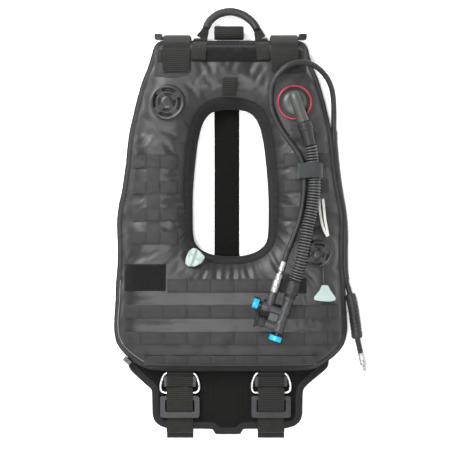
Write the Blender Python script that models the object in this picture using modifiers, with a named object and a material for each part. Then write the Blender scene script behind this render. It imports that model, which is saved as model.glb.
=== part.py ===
"""Horse-collar buoyancy compensator vest, lying on its back.

Frame, metres: origin on the back face of the back strap in the middle of the
neck opening; +X to the wearer's left, +Y to the head, +Z out of the vest's
front. Names use the wearer's sides, so right_* pieces have negative X.
Dimensions below are in millimetres and are scaled by MM where a mesh is made.
"""
import math

import bmesh
import bpy
from mathutils import Matrix, Vector
from mathutils.bvhtree import BVHTree

MM = 0.001

# ---------------------------------------------------------------- dimensions
FRONT_TOP = 56.0      # height of the inflated front
EDGE_Z = 17.0         # height of the welded edge
BACK_Z = 4.0          # underside of the vest over the straps
LUMBAR_Z = 11.2       # underside of the vest over the lumbar pad
FRONT_ROLL = 50.0     # run over which the front rises from its edge
BACK_ROLL = 26.0
SKIN = 1.2            # coated fabric with its lining
WEB = 2.2             # 50 mm webbing thickness
TAPE = 1.6            # 25 mm webbing thickness
GAP = 0.3
DRAPE = 1.5           # clearance of a band over the faceted front
WEB_W = 50.0
BACK_STRAP_W = 47.0

VALVE_X, VALVE_Y = 116.0, 224.5
VALVE_R = 33.0
DUMP_X, DUMP_Y, DUMP_R = 160.0, -53.0, 26.0

# half outlines, top middle to bottom middle
OUTER = [(0, 341), (45, 341), (90, 342), (122, 342), (138, 335), (145, 314),
         (152, 292), (161, 270), (168, 247), (174, 225), (179, 203), (185, 178),
         (189, 150), (192, 119), (196, 88), (200, 62), (206, 34), (209, 5),
         (208, -30), (208, -75), (211, -110), (212, -143), (214, -173),
         (214, -198), (208, -222), (190, -243), (160, -263), (130, -268),
         (85, -269), (40, -269), (0, -269)]
INNER = [(0, 219), (20, 218), (38, 212), (49, 201), (55, 190), (60, 175),
         (65, 150), (68, 125), (71, 95), (73.5, 60), (74, 24), (73, -18),
         (67, -38), (51, -52), (27, -60), (0, -62)]
CENTRE = (0.0, 75.0)
N_RING = 60

# inflator frame: t along its barrel, u across it
INF_ORIGIN = (116.0, -103.0, 73.4)
INF_ANGLE = math.atan2(-0.946, -0.323)
INF_COLUMN = -30.0    # u of the quick coupling
STRAP_X = {"right": -95.0, "left": 76.0}
PIVOT_Y, PIVOT_Z = -277.0, 13.0
HANDLE_Y, HANDLE_Z = 347.0, 22.0

# ------------------------------------------------------------------ clearing
for obj in list(bpy.data.objects):
    bpy.data.objects.remove(obj, do_unlink=True)
parts = bpy.data.collections.new("buoyancy_compensator_vest")
cutters = bpy.data.collections.new("cutters")
bpy.context.scene.collection.children.link(parts)
bpy.context.scene.collection.children.link(cutters)

MATS = {}


def material(name, colour, rough, metal=0.0):
    m = bpy.data.materials.new(name)
    m.use_nodes = True
    p = m.node_tree.nodes["Principled BSDF"]
    p.inputs["Base Color"].default_value = (*colour, 1.0)
    p.inputs["Roughness"].default_value = rough
    p.inputs["Metallic"].default_value = metal
    MATS[name] = m


material("coated_fabric", (0.045, 0.047, 0.05), 0.45)
material("laminate_band", (0.08, 0.08, 0.082), 0.6)
material("binding", (0.012, 0.012, 0.013), 0.85)
material("webbing", (0.05, 0.049, 0.044), 0.8)
material("hook_patch", (0.015, 0.015, 0.016), 0.95)
material("mesh_pad", (0.03, 0.03, 0.027), 0.9)
material("black_plastic", (0.02, 0.02, 0.022), 0.4)
material("grey_plastic", (0.07, 0.072, 0.068), 0.45)
material("rubber", (0.018, 0.018, 0.019), 0.6)
material("red_anodised", (0.6, 0.06, 0.07), 0.3, 1.0)
material("blue_plastic", (0.02, 0.5, 0.85), 0.35)
material("pale_plastic", (0.75, 0.85, 0.82), 0.5)
material("white_tape", (0.8, 0.8, 0.78), 0.7)
material("steel", (0.75, 0.75, 0.74), 0.22, 1.0)
material("dark_metal", (0.09, 0.09, 0.092), 0.42, 1.0)


# -------------------------------------------------------------------- curves
def catmull(points, closed, per=6):
    n = len(points)
    out = []
    last = n if closed else n - 1
    for i in range(last):
        if closed:
            p = [Vector(points[(i + k) % n]) for k in (-1, 0, 1, 2)]
        else:
            p = [Vector(points[min(max(i + k, 0), n - 1)]) for k in (-1, 0, 1, 2)]
        for j in range(per):
            t = j / per
            out.append(0.5 * ((2 * p[1]) + (p[2] - p[0]) * t
                              + (2 * p[0] - 5 * p[1] + 4 * p[2] - p[3]) * t * t
                              + (3 * p[1] - p[0] - 3 * p[2] + p[3]) * t ** 3))
    if not closed:
        out.append(Vector(points[-1]))
    return out


def resample(points, n, closed):
    pts = list(points) + ([points[0]] if closed else [])
    run = [0.0]
    for a, b in zip(pts, pts[1:]):
        run.append(run[-1] + (b - a).length)
    total = run[-1]
    out, k = [], 0
    for i in range(n):
        want = total * i / (n if closed else n - 1)
        while k < len(run) - 2 and run[k + 1] < want:
            k += 1
        span = run[k + 1] - run[k]
        f = 0 if span == 0 else (want - run[k]) / span
        out.append(pts[k].lerp(pts[k + 1], min(max(f, 0), 1)))
    return out


def full(half):
    return half + [(-x, y) for x, y in reversed(half[1:-1])]


outer_line = resample(catmull(full(OUTER), True), 288, True)
inner_line = resample(catmull(full(INNER), True), 216, True)


def distance(p, line):
    best = 1e9
    n = len(line)
    for i in range(n):
        a, b = line[i], line[(i + 1) % n]
        ab = b - a
        t = max(0.0, min(1.0, (p - a).dot(ab) / ab.length_squared))
        best = min(best, (p - a - ab * t).length_squared)
    return math.sqrt(best)


def meet(origin, towards, line):
    """Where a ray from origin through towards crosses a closed line."""
    d = (towards - origin).normalized()
    n = len(line)
    for i in range(n):
        a, b = line[i] - origin, line[(i + 1) % n] - origin
        e = b - a
        det = d.x * -e.y + e.x * d.y
        if abs(det) < 1e-12:
            continue
        s = (a.x * -e.y + e.x * a.y) / det
        t = (d.x * a.y - d.y * a.x) / det
        if s > 0 and 0 <= t <= 1:
            return origin + d * s
    raise ValueError("no crossing")


def smooth(a, b, x):
    t = max(0.0, min(1.0, (x - a) / (b - a)))
    return t * t * (3 - 2 * t)


def roll(r):
    r = max(0.0, min(1.0, r))
    return math.sqrt(1 - (1 - r) ** 2)


def lumbar(y):
    return smooth(-182, -206, y)


def edge_z(y):
    return EDGE_Z + 3.0 * lumbar(y)


def front_z(x, y, inset=0.0):
    p = Vector((x, y))
    d = min(distance(p, outer_line), distance(p, inner_line)) - inset
    e = edge_z(y)
    return e + (FRONT_TOP - e) * roll(d / FRONT_ROLL)


def back_z(x, y, inset=0.0):
    p = Vector((x, y))
    d = min(distance(p, outer_line), distance(p, inner_line)) - inset
    e = edge_z(y)
    low = BACK_Z + (LUMBAR_Z - BACK_Z) * lumbar(y)
    return e - (e - low) * roll(d / BACK_ROLL)


centre = Vector(CENTRE)
ring_outer = resample(outer_line, N_RING, True)
ring_inner = [meet(centre, p, inner_line) for p in ring_outer]


def ring_point(i, v):
    return ring_inner[i].lerp(ring_outer[i], v)


def ring_at(i, w):
    """Point w mm from the inner edge along the ring's own direction."""
    span = (ring_outer[i] - ring_inner[i]).length
    return ring_point(i, w / span)


# ------------------------------------------------------------------- meshing
def place(name, mesh, mat, origin=(0, 0, 0), collection=parts):
    mesh.materials.append(MATS[mat])
    obj = bpy.data.objects.new(name, mesh)
    obj.location = Vector(origin) * MM
    collection.objects.link(obj)
    return obj


def finish(name, bm, mat, origin=(0, 0, 0), smooth_angle=None):
    for v in bm.verts:
        v.co = (v.co - Vector(origin)) * MM
    bmesh.ops.recalc_face_normals(bm, faces=bm.faces)
    mesh = bpy.data.meshes.new(name)
    bm.to_mesh(mesh)
    bm.free()
    if smooth_angle:
        mesh.shade_smooth()
        mesh.set_sharp_from_angle(angle=math.radians(smooth_angle))
    return place(name, mesh, mat, origin)


def loft(name, sections, mat, closed_path=False, origin=(0, 0, 0), angle=40):
    """Closed cross-sections joined in order; open paths are capped."""
    bm = bmesh.new()
    rows = [[bm.verts.new(p) for p in s] for s in sections]
    n = len(rows[0])
    count = len(rows) if closed_path else len(rows) - 1
    for i in range(count):
        a, b = rows[i], rows[(i + 1) % len(rows)]
        for j in range(n):
            k = (j + 1) % n
            bm.faces.new((a[j], a[k], b[k], b[j]))
    if not closed_path:
        bm.faces.new(list(reversed(rows[0])))
        bm.faces.new(rows[-1])
    return finish(name, bm, mat, origin, angle)


def draped(name, xs, rows, mat, gap=DRAPE, thick=TAPE, keep=None, lift=0.0):
    """A band laid on the front: a grid over xs and rows, with some cells kept."""
    bm = bmesh.new()
    grid = {}

    def vert(i, j):
        if (i, j) not in grid:
            x, y = (xs[i], rows[j]) if not callable(xs) else xs(i, rows[j])
            grid[i, j] = bm.verts.new((x, y, front_z(x, y) + gap + lift))
        return grid[i, j]

    nx = len(xs) if not callable(xs) else xs.count
    for i in range(nx - 1):
        for j in range(len(rows) - 1):
            if keep is None or keep(i, j):
                bm.faces.new((vert(i, j), vert(i + 1, j), vert(i + 1, j + 1), vert(i, j + 1)))
    out = bmesh.ops.extrude_face_region(bm, geom=list(bm.faces))
    top = [g for g in out["geom"] if isinstance(g, bmesh.types.BMVert)]
    bmesh.ops.translate(bm, verts=top, vec=(0, 0, thick))
    return finish(name, bm, mat, smooth_angle=30)


def span(a, b, step):
    n = max(1, round(abs(b - a) / step))
    return [a + (b - a) * i / n for i in range(n + 1)]


def ribbon(name, path, width, thick, mat, axis="x", at=0.0, closed=False, origin=(0, 0, 0)):
    """Webbing along a flat path. axis is the direction of its width: x takes
    (y, z) points, y takes (x, z) points and z takes (x, y) points."""
    pts = [Vector(p) for p in path]
    n = len(pts)
    sections = []
    for i, p in enumerate(pts):
        if closed:
            t = (pts[(i + 1) % n] - pts[i - 1]).normalized()
        else:
            t = (pts[min(i + 1, n - 1)] - pts[max(i - 1, 0)]).normalized()
        nrm = Vector((-t.y, t.x)) * thick / 2
        ring = []
        for side, out in ((-1, 1), (1, 1), (1, -1), (-1, -1)):
            w = at + side * width / 2
            q = p + nrm * out
            ring.append({"x": (w, q.x, q.y), "y": (q.x, w, q.y), "z": (q.x, q.y, w)}[axis])
        sections.append(ring)
    return loft(name, sections, mat, closed_path=closed, origin=origin)


def arc(cx, cy, r, a0, a1, n):
    return [(cx + r * math.cos(math.radians(a0 + (a1 - a0) * i / n)),
             cy + r * math.sin(math.radians(a0 + (a1 - a0) * i / n))) for i in range(n + 1)]


def tube(name, points, radius, mat, res=2, origin=(0, 0, 0)):
    curve = bpy.data.curves.new(name, "CURVE")
    curve.dimensions = "3D"
    curve.bevel_depth = radius * MM
    curve.bevel_resolution = res
    curve.use_fill_caps = True
    curve.resolution_u = 1
    curve.render_resolution_u = 0
    spline = curve.splines.new("POLY")
    spline.points.add(len(points) - 1)
    for sp, p in zip(spline.points, points):
        sp.co = (*((Vector(p) - Vector(origin)) * MM), 1)
    curve.materials.append(MATS[mat])
    obj = bpy.data.objects.new(name, curve)
    obj.location = Vector(origin) * MM
    parts.objects.link(obj)
    return obj


def pipe(name, points, ro, ri, mat, sides=10, origin=(0, 0, 0)):
    """A tube with an open bore along a path."""
    bm = bmesh.new()
    pts = [Vector(p) for p in points]
    outer, inner = [], []
    for i, p in enumerate(pts):
        t = (pts[min(i + 1, len(pts) - 1)] - pts[max(i - 1, 0)]).normalized()
        a = t.cross(Vector((0, 0, 1))).normalized()
        b = a.cross(t)
        for row, r in ((outer, ro), (inner, ri)):
            row.append([bm.verts.new(p + (a * math.cos(k) + b * math.sin(k)) * r)
                        for k in (2 * math.pi * s / sides for s in range(sides))])
    for row in (outer, inner):
        for a, b in zip(row, row[1:]):
            for j in range(sides):
                k = (j + 1) % sides
                bm.faces.new((a[j], a[k], b[k], b[j]))
    for end in (0, -1):
        for j in range(sides):
            k = (j + 1) % sides
            bm.faces.new((outer[end][j], outer[end][k], inner[end][k], inner[end][j]))
    return finish(name, bm, mat, origin, 50)


def turned(name, profile, mat, origin=(0, 0, 0), matrix=None, segs=24, ring=False, collection=parts):
    """A profile of (radius, height) points, top to bottom down its outer side,
    spun about Z with a Screw modifier."""
    mesh = bpy.data.meshes.new(name)
    pts = [(r * MM, 0, z * MM) for r, z in profile]
    edges = [(i, i + 1) for i in range(len(pts) - 1)]
    if ring:
        edges.append((len(pts) - 1, 0))
    mesh.from_pydata(pts, edges, [])
    obj = place(name, mesh, mat, origin, collection)
    if matrix is not None:
        obj.matrix_world = matrix
    s = obj.modifiers.new("turn", "SCREW")
    s.steps = s.render_steps = segs
    s.use_merge_vertices = True
    s.merge_threshold = 0.00005
    s.use_smooth_shade = False
    return obj


def cutter(obj):
    obj.hide_render = True
    obj.display_type = "WIRE"
    for c in list(obj.users_collection):
        c.objects.unlink(obj)
    cutters.objects.link(obj)
    return obj


def boolean(obj, other, operation):
    m = obj.modifiers.new(operation.lower(), "BOOLEAN")
    m.operation = operation
    m.solver = "EXACT"
    m.object = other
    cutter(other)


def block(name, low, high, mat, bevel=0.0, origin=None):
    bm = bmesh.new()
    bmesh.ops.create_cube(bm, size=1)
    lo, hi = Vector(low), Vector(high)
    mid = (lo + hi) / 2
    for v in bm.verts:
        v.co = Vector((v.co.x * (hi.x - lo.x), v.co.y * (hi.y - lo.y), v.co.z * (hi.z - lo.z))) + mid
    obj = finish(name, bm, mat, origin if origin else mid)
    if bevel:
        b = obj.modifiers.new("edges", "BEVEL")
        b.width = bevel * MM
        b.segments = 1
    return obj


def plate(name, outline, z0, z1, mat, holes=(), origin=(0, 0, 0)):
    """A flat outline filled on both faces, half its thickness extruded each way."""
    curve = bpy.data.curves.new(name, "CURVE")
    curve.dimensions = "2D"
    curve.fill_mode = "BOTH"
    curve.extrude = (z1 - z0) / 2 * MM
    curve.resolution_u = 1
    curve.render_resolution_u = 0
    for line in (outline, *holes):
        sp = curve.splines.new("POLY")
        sp.points.add(len(line) - 1)
        for s, p in zip(sp.points, line):
            s.co = ((p[0] - origin[0]) * MM, (p[1] - origin[1]) * MM, 0, 1)
        sp.use_cyclic_u = True
    curve.materials.append(MATS[mat])
    obj = bpy.data.objects.new(name, curve)
    obj.location = (origin[0] * MM, origin[1] * MM, (z0 + z1) / 2 * MM)
    parts.objects.link(obj)
    return obj


def meshed(curve_obj):
    """The curve's evaluated shape as a mesh object of the same name and place."""
    bpy.context.view_layer.update()
    ev = curve_obj.evaluated_get(bpy.context.evaluated_depsgraph_get())
    mesh = bpy.data.meshes.new_from_object(ev)
    bm = bmesh.new()
    bm.from_mesh(mesh)
    bmesh.ops.remove_doubles(bm, verts=bm.verts, dist=1e-6)
    bmesh.ops.recalc_face_normals(bm, faces=bm.faces)
    bm.to_mesh(mesh)
    bm.free()
    name, matrix = curve_obj.name, curve_obj.matrix_world.copy()
    bpy.data.objects.remove(curve_obj, do_unlink=True)
    solid = bpy.data.objects.new(name, mesh)
    solid.matrix_world = matrix
    parts.objects.link(solid)
    return solid


def frame_at(origin, direction):
    """Matrix whose Z runs along direction."""
    z = Vector(direction).normalized()
    x = Vector((0, 0, 1)).cross(z)
    x = x.normalized() if x.length > 1e-6 else Vector((1, 0, 0))
    y = z.cross(x)
    m = Matrix((x, y, z)).transposed().to_4x4()
    m.translation = Vector(origin) * MM
    return m


def empty(name, origin):
    e = bpy.data.objects.new(name, None)
    e.location = Vector(origin) * MM
    parts.objects.link(e)
    return e


def ride(obj, parent):
    bpy.context.view_layer.update()
    obj.parent = parent
    obj.matrix_parent_inverse = parent.matrix_world.inverted()


# ============================================================ inflatable body
STEPS = [0, 0.03, 0.1, 0.22, 0.4, 0.6, 0.78, 0.9, 0.97, 1]


def skin(name, height, steps, mat):
    """Open ring surface with a Solidify, outer side where height puts it."""
    bm = bmesh.new()
    rows = []
    for v in steps:
        row = []
        for i in range(N_RING):
            p = ring_point(i, v)
            row.append(bm.verts.new((p.x, p.y, height(p.x, p.y))))
        rows.append(row)
    for a, b in zip(rows, rows[1:]):
        for i in range(N_RING):
            k = (i + 1) % N_RING
            bm.faces.new((a[i], a[k], b[k], b[i]))
    obj = finish(name, bm, mat, smooth_angle=60)
    return obj


def shell(name, height, steps, mat, up):
    obj = skin(name, height, steps, mat)
    mesh = obj.data
    mid = mesh.polygons[len(mesh.polygons) // 2]
    if (mid.normal.z > 0) != up:
        mesh.flip_normals()
    s = obj.modifiers.new("fabric", "SOLIDIFY")
    s.thickness = SKIN * MM
    s.offset = -1
    s.use_rim = True
    return obj


front = shell("front_cover", lambda x, y: front_z(x, y) + 0.6, STEPS, "coated_fabric", True)
back = shell("back_cover", lambda x, y: back_z(x, y) - 1.2, [0, 0.04, 0.2, 0.5, 0.8, 0.96, 1],
             "coated_fabric", False)

# the air cell between them, as the space it fills
INSET = 5.0
sections = []
for i in range(0, N_RING, 2):
    wide = (ring_outer[i] - ring_inner[i]).length
    top, bottom = [], []
    for f in (0.0, 0.1, 0.28, 0.5, 0.72, 0.9, 1.0):
        p = ring_at(i, INSET + (wide - 2 * INSET) * f)
        hi = front_z(p.x, p.y, INSET) - 4.0
        lo = back_z(p.x, p.y, INSET) + 4.8
        if f in (0.0, 1.0):
            mid = edge_z(p.y)
            top.append((p.x, p.y, mid + 0.6))
            bottom.append((p.x, p.y, mid - 0.5))
        else:
            top.append((p.x, p.y, max(hi, mid + 0.8)))
            if f in (0.1, 0.28, 0.72, 0.9):
                bottom.append((p.x, p.y, min(lo, mid - 0.7)))
    sections.append(top + list(reversed(bottom)))
loft("inner_bladder", sections, "rubber", closed_path=True)

# binding tape round the outer edge: a flat ring outside the welded edge
sections = []
for i in range(N_RING):
    p = ring_outer[i]
    d = (ring_outer[(i + 1) % N_RING] - ring_outer[i - 1]).normalized()
    out = Vector((d.y, -d.x))
    if out.dot(p - centre) < 0:
        out = -out
    e = edge_z(p.y)
    ring = []
    for w, h in ((0.5, -2.2), (3.4, -1.6), (3.4, 1.6), (0.5, 2.2)):
        q = p + out * w
        ring.append((q.x, q.y, e + h))
    sections.append(ring)
loft("edge_binding", sections, "binding", closed_path=True)

# padded band round the neck opening
sections = []
for i in range(N_RING):
    ring = []
    d = (ring_inner[(i + 1) % N_RING] - ring_inner[i - 1]).normalized()
    out = Vector((d.y, -d.x))
    if out.dot(ring_inner[i] - centre) < 0:
        out = -out
    q0 = ring_inner[i] - out * 1.2
    z0 = edge_z(ring_inner[i].y)
    ring.append((q0.x, q0.y, z0 - 4.0))
    q = ring_inner[i] - out * 3.2
    ring.append((q.x, q.y, z0 - 4.0))
    for w in (1.0, 7.0, 17.0):
        p = ring_at(i, w)
        ring.append((p.x - out.x * 1.6 * (17 - w) / 17, p.y - out.y * 1.6 * (17 - w) / 17,
                     front_z(p.x, p.y) + 4.4))
    for w in (17.0, 7.0):
        p = ring_at(i, w)
        ring.append((p.x, p.y, front_z(p.x, p.y) + 2.2))
    p = ring_at(i, 0.8)
    q = p - out * 1.9
    ring.append((q.x, q.y, front_z(p.x, p.y) + 2.0))
    sections.append(ring)
loft("neck_collar", sections, "binding", closed_path=True)

# ================================================================= flat trim
for side, s in (("right", -1), ("left", 1)):
    xs = sorted(s * x for x in (78, 90, 102, 113, 123, 132, 140))
    draped(f"{side}_yoke_patch", xs, [275, 287, 298, 308, 317, 325], "coated_fabric")


class Trapeze:
    """Columns that close in towards the top edge."""
    count = 7

    def __call__(self, i, y):
        half = 72 + (55 - 72) * (y - 300) / 30
        return -half + 2 * half * i / 6, y


draped("handle_anchor", Trapeze(), [300, 312, 322, 330], "hook_patch")
draped("hook_loop_patch", span(-197, -119, 13), [-121, -105, -88, -72], "hook_patch")


def molle(name, xs, column, rows):
    """Horizontal bands joined by one upright band."""
    lines = sorted({y for r in rows for y in r})
    bands = {(lines.index(lo), lines.index(hi)) for lo, hi in rows}

    def keep(i, j):
        return any(lo <= j < hi for lo, hi in bands) or (xs[i] >= column[0] - 0.1 and xs[i + 1] <= column[1] + 0.1)

    draped(name, xs, lines, "laminate_band", keep=keep)


molle("right_chest_bands", [-182, -174, -165, -155, -129, -112, -103, -96], (-155, -129),
      [(-36, -12), (7, 32), (57, 81), (105, 129)])
molle("left_chest_bands", [96, 103, 112, 129, 155, 165, 174, 182], (129, 155),
      [(9, 34), (59, 84), (107, 132)])


def columns(x0, x1):
    """Close together where the front curves down to the sides."""
    flat = 150.0
    cuts = [x for x in (-flat, flat) if x0 < x < x1]
    ends = [x0] + cuts + [x1]
    xs = [x0]
    for a, b in zip(ends, ends[1:]):
        xs += span(a, b, 10 if min(abs(a), abs(b)) > flat - 1 and a * b > 0 else 50)[1:]
    return xs


for name, x0, x1, y0, y1 in (("a", -116, 139, -124.5, -99), ("b", -198, 199, -172, -146.5),
                             ("c", -199, 199, -221, -196), ("d", -160, 160, -258, -241)):
    draped(f"waist_band_{name}", columns(x0, x1) if name != "d" else span(x0, x1, 13), [y0, (y0 + y1) / 2, y1] if name in "cd" else [y0, y1],
           "laminate_band")

# webbing keeper over the middle of the neck's top edge
keeper = [(253 + 16.0 * math.cos(a) * 1.0, 4.2 * math.sin(a)) for a in
          (2 * math.pi * k / 14 for k in range(14))]
tilt = math.radians(17)
keeper = [((y - 253) * math.cos(tilt) - z * math.sin(tilt) + 253,
           (y - 253) * math.sin(tilt) + z * math.cos(tilt) + 60.6) for y, z in keeper]
ribbon("neck_keeper_loop", keeper, 26, TAPE, "webbing", at=-2.5, closed=True)

# ============================================================ straps and pads
ribbon("back_strap", [(332, WEB / 2), (60, WEB / 2), (-212, WEB / 2)], BACK_STRAP_W, WEB, "webbing", at=-7.0)
roll_path = [(359 + 12.0 * math.cos(a), 16 + 9.5 * math.sin(a)) for a in
             (2 * math.pi * k / 16 for k in range(16))]
ribbon("top_webbing_loop", roll_path, 55, WEB, "webbing", at=-3.0, closed=True)

pad = [(-186, -216), (176, -216), (186, -240), (184, -268), (150, -296), (136, -309), (135, -358),
       (131, -370), (120, -379), (104, -383), (22, -384), (20, -394), (-30, -394), (-32, -384),
       (-116, -383), (-132, -379), (-143, -370), (-147, -358), (-148, -309), (-160, -300),
       (-192, -270), (-194, -240)]
plate("lumbar_pad", pad, 0.0, 7.0, "mesh_pad")

for side, s in (("right", -1), ("left", 1)):
    x = 100.0 * s
    path = [(y, max(front_z(x + k * s, y) for k in (-25, 0, 25)) + DRAPE + TAPE + 0.5 + WEB / 2)
            for y in (281, 290, 299, 307, 314, 321, 327)]
    path += [(334, 48.0), (341, 41.5), (348, 33), (353, 23.5), (354, 14), (351.5, 6), (345.5, 1.9), (338, 1.1),
             (250, 1.1)]
    ribbon(f"{side}_shoulder_strap", path, WEB_W, WEB, "webbing", at=x)
    rod = turned(f"{side}_shoulder_buckle", [(0, 56), (3, 56), (3, 0), (0, 0)], "black_plastic",
                 matrix=frame_at((73 * s, 348.6, 19), (s, 0, 0)), segs=12)
    end = block(f"{side}_buckle_end", (min(127 * s, 142 * s), 346.2, 11), (max(127 * s, 142 * s), 356, 29),
                "black_plastic", bevel=2)
    boolean(rod, end, "UNION")

# ============================================================== carry handle
hinge = (0, HANDLE_Y, HANDLE_Z)
handle = empty("carry_handle_axis", hinge)
arch = [(-55, 348.5, 21.6), (-50, 357, 19), (-46, 368, 16.5), (-39, 382, 14), (-23, 395, 12.2), (0, 400, 12),
        (23, 394, 12.2), (41, 380, 14), (50, 365, 16.5), (53, 356, 19), (56, 348.5, 21.6)]
arch_line = resample(catmull(arch, False), 25, False)
ride(tube("handle_webbing", arch_line, 3.2, "webbing", res=1, origin=hinge), handle)
grip_line = resample(catmull(arch[2:9], False), 13, False)
ride(pipe("handle_grip", grip_line, 7.6, 4.2, "rubber", sides=10, origin=hinge), handle)


# ==================================================================== valves
def valve(name, x, y, radius, height, travel, windows):
    """Exhaust valve: vented cap, spring and poppet."""
    z0 = FRONT_TOP + 0.9
    top = z0 + height
    plate_t = 2.0
    r = radius
    cap = turned(f"{name}_cap", [(0, top), (r * 0.3, top), (r * 0.36, top - 0.8), (r * 0.8, top - 0.8),
                                 (r * 0.88, top), (r * 0.95, top - 0.6), (r, top - 2.4), (r, z0),
                                 (r * 0.78, z0), (r * 0.78, top - plate_t - 0.8), (0, top - plate_t - 0.8)],
                 "black_plastic", origin=(x, y, 0), segs=32)
    for k in range(windows):
        a0 = 360.0 / windows * k + 12
        a1 = a0 + 360.0 / windows - 24
        shape = [(x + px, y + py) for px, py in arc(0, 0, r * 0.72, a0, a1, 4) + arc(0, 0, r * 0.42, a1, a0, 3)]
        cut = plate(f"{name}_window_{k}", shape, top - 5, top + 3, "black_plastic")
        solid = meshed(cut)
        boolean(cap, solid, "DIFFERENCE")
    zp = z0 + 0.5
    turned(f"{name}_poppet", [(0, zp + 1.6), (r * 0.66, zp + 1.6), (r * 0.7, zp + 1.0), (r * 0.7, zp), (0, zp)],
           "rubber", origin=(x, y, 0), segs=24)
    low, high = zp + 1.6 + GAP, top - plate_t - 0.8 - GAP
    wire = 0.4
    turns, per = (2.5 if height > 9 else 1.5), 10
    coil = []
    count = int(turns * per)
    for k in range(count + 1):
        a = 2 * math.pi * k / per
        coil.append((x + r * 0.3 * math.cos(a), y + r * 0.3 * math.sin(a),
                     low + wire + (high - low - 2 * wire) * k / count))
    tube(f"{name}_spring", coil, wire, "steel", res=1)
    return zp, high


valve("shoulder_valve", -VALVE_X, VALVE_Y, VALVE_R, 9.5, 2.5, 4)
valve("lower_dump", DUMP_X, DUMP_Y, DUMP_R, 8.0, 1.8, 4)

# lower dump cord, hanging below the valve, and its pull tab
CORD_X = 169.0
tube("lower_dump_cord", [(CORD_X, -80.4, 59.6), (CORD_X + 0.4, -86, 60.4), (CORD_X + 0.8, -95, 61.4),
                         (CORD_X + 1.4, -104, 61.6), (CORD_X + 2, -109.4, 61.6)], 1.0, "pale_plastic", res=2,
     origin=(CORD_X, -80, 60))
tab = [(-6, 15), (6, 15), (10, 6), (20, -8), (19, -13), (8, -15), (-8, -14), (-19, -12), (-20, -7), (-9, 6)]
plate("lower_pull_tab", [(172 + x, -125 + y) for x, y in tab], 59.6, 64.6, "pale_plastic", origin=(172, -125))
tab = [(-14, 17), (2, 19), (13, 14), (19, 3), (18, -9), (9, -17), (-6, -18), (-17, -12), (-20, 2)]
plate("shoulder_pull_tab", [(-66 + x, -60 + y) for x, y in tab], 56.4, 62.4, "pale_plastic", origin=(-66, -60))

# whistle lanyard, a narrow folded tape on the left chest
loop = catmull([(161, 47), (162.5, 30), (166, 8), (171, -9), (177, -21), (178.5, -17), (175, -2), (172.5, 10),
                (171, 27), (168.5, 46), (165, 50)], True, 2)
ribbon("lanyard_tape", [(p.x, p.y) for p in loop], 5.0, 1.2, "white_tape", axis="z", at=62.0, closed=True)

# ======================================================= inflator and hoses
z0 = FRONT_TOP + 0.9
turned("inflator_flange", [(0, z0 + 3), (30, z0 + 3), (32, z0 + 2), (32, z0), (0, z0)], "black_plastic",
       origin=(VALVE_X + 1, VALVE_Y, 0), segs=32)
turned("flange_ring", [(28.6, z0 + 5), (31.4, z0 + 5), (31.8, z0 + 3.4), (28.6, z0 + 3.4)], "red_anodised",
       origin=(VALVE_X + 1, VALVE_Y, 0), segs=32, ring=True)
elbow = turned("inflator_elbow", [(0, z0 + 10), (15, z0 + 9.6), (21, z0 + 7.4), (23.5, z0 + 3.4), (0, z0 + 3.4)],
               "grey_plastic", origin=(VALVE_X + 1, VALVE_Y, 0), segs=28)
bend = resample(catmull([(115.5, 237, 68.5), (116.5, 234, 71.5), (118.5, 228, 73.4), (122.5, 216, 74), (127.5, 201, 74),
                         (132.8, 187.6, 74)], False), 9, False)
arm = loft("elbow_tube", [[tuple(c + (a * math.cos(k) + b * math.sin(k)) * 10.5) for k in
                           (2 * math.pi * s / 14 for s in range(14))]
                          for c, a, b in (
                              (p, t.cross(Vector((0.945, 0.327, 0))).normalized(), Vector((0.945, 0.327, 0)))
                              for p, t in ((bend[i], (bend[min(i + 1, 8)] - bend[max(i - 1, 0)]).normalized())
                                           for i in range(9)))], "grey_plastic")
boolean(elbow, arm, "UNION")

CUFF_A, CUFF_B = Vector((132.9, 187.0, 74)), Vector((144.6, 144.5, 73.2))
cuff_dir = (CUFF_B - CUFF_A).normalized()
cuff_len = (CUFF_B - CUFF_A).length
turned("hose_cuff", [(0, cuff_len - GAP), (9.8, cuff_len - GAP), (12.4, 16), (13.6, 14), (13.6, 10), (13.0, 9),
                     (13.6, 8), (13.6, 4), (13.0, 3), (13.4, 0.6), (0, 0.6)], "rubber",
       matrix=frame_at(CUFF_A, cuff_dir), segs=20)

HOSE = [tuple(CUFF_B + cuff_dir * 0.9), (147.0, 134, 72.6), (149.5, 112, 71.8), (152.2, 88, 71.6), (152.6, 68, 71.6),
        (150.2, 45, 71.8), (146.6, 24, 72.6), (141.6, 2, 74.2), (136.6, -22, 76.2), (131.6, -46, 77.2),
        (126.6, -68, 76.6), (120.2, -90.6, 74), (INF_ORIGIN[0] + 0.26, INF_ORIGIN[1] + 0.75, INF_ORIGIN[2])]
hose_line = resample(catmull(HOSE, False), 15, False)
tube("corrugated_hose", hose_line, 11.6, "rubber", res=3)

# band that keeps both hoses on the chest
ribbon("hose_retainer", [(123.4, 59.6), (123.8, 66), (126.6, 71.4), (131.2, 76), (136.2, 81), (142.5, 85.4),
                         (150.5, 86.6), (158.5, 85.0), (164, 79.5), (166.4, 72), (167.6, 65), (168.2, 59.6)],
       27, TAPE, "webbing", axis="y", at=99.5)

# inflator: every piece is built along +X of its own frame, then turned
inf = Matrix.Translation(Vector(INF_ORIGIN) * MM) @ Matrix.Rotation(INF_ANGLE, 4, "Z")
along = Matrix.Rotation(math.pi / 2, 4, "Y")


def inf_at(t, u, v=0.0):
    return inf @ Matrix.Translation(Vector((t, u, v)) * MM)


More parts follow.
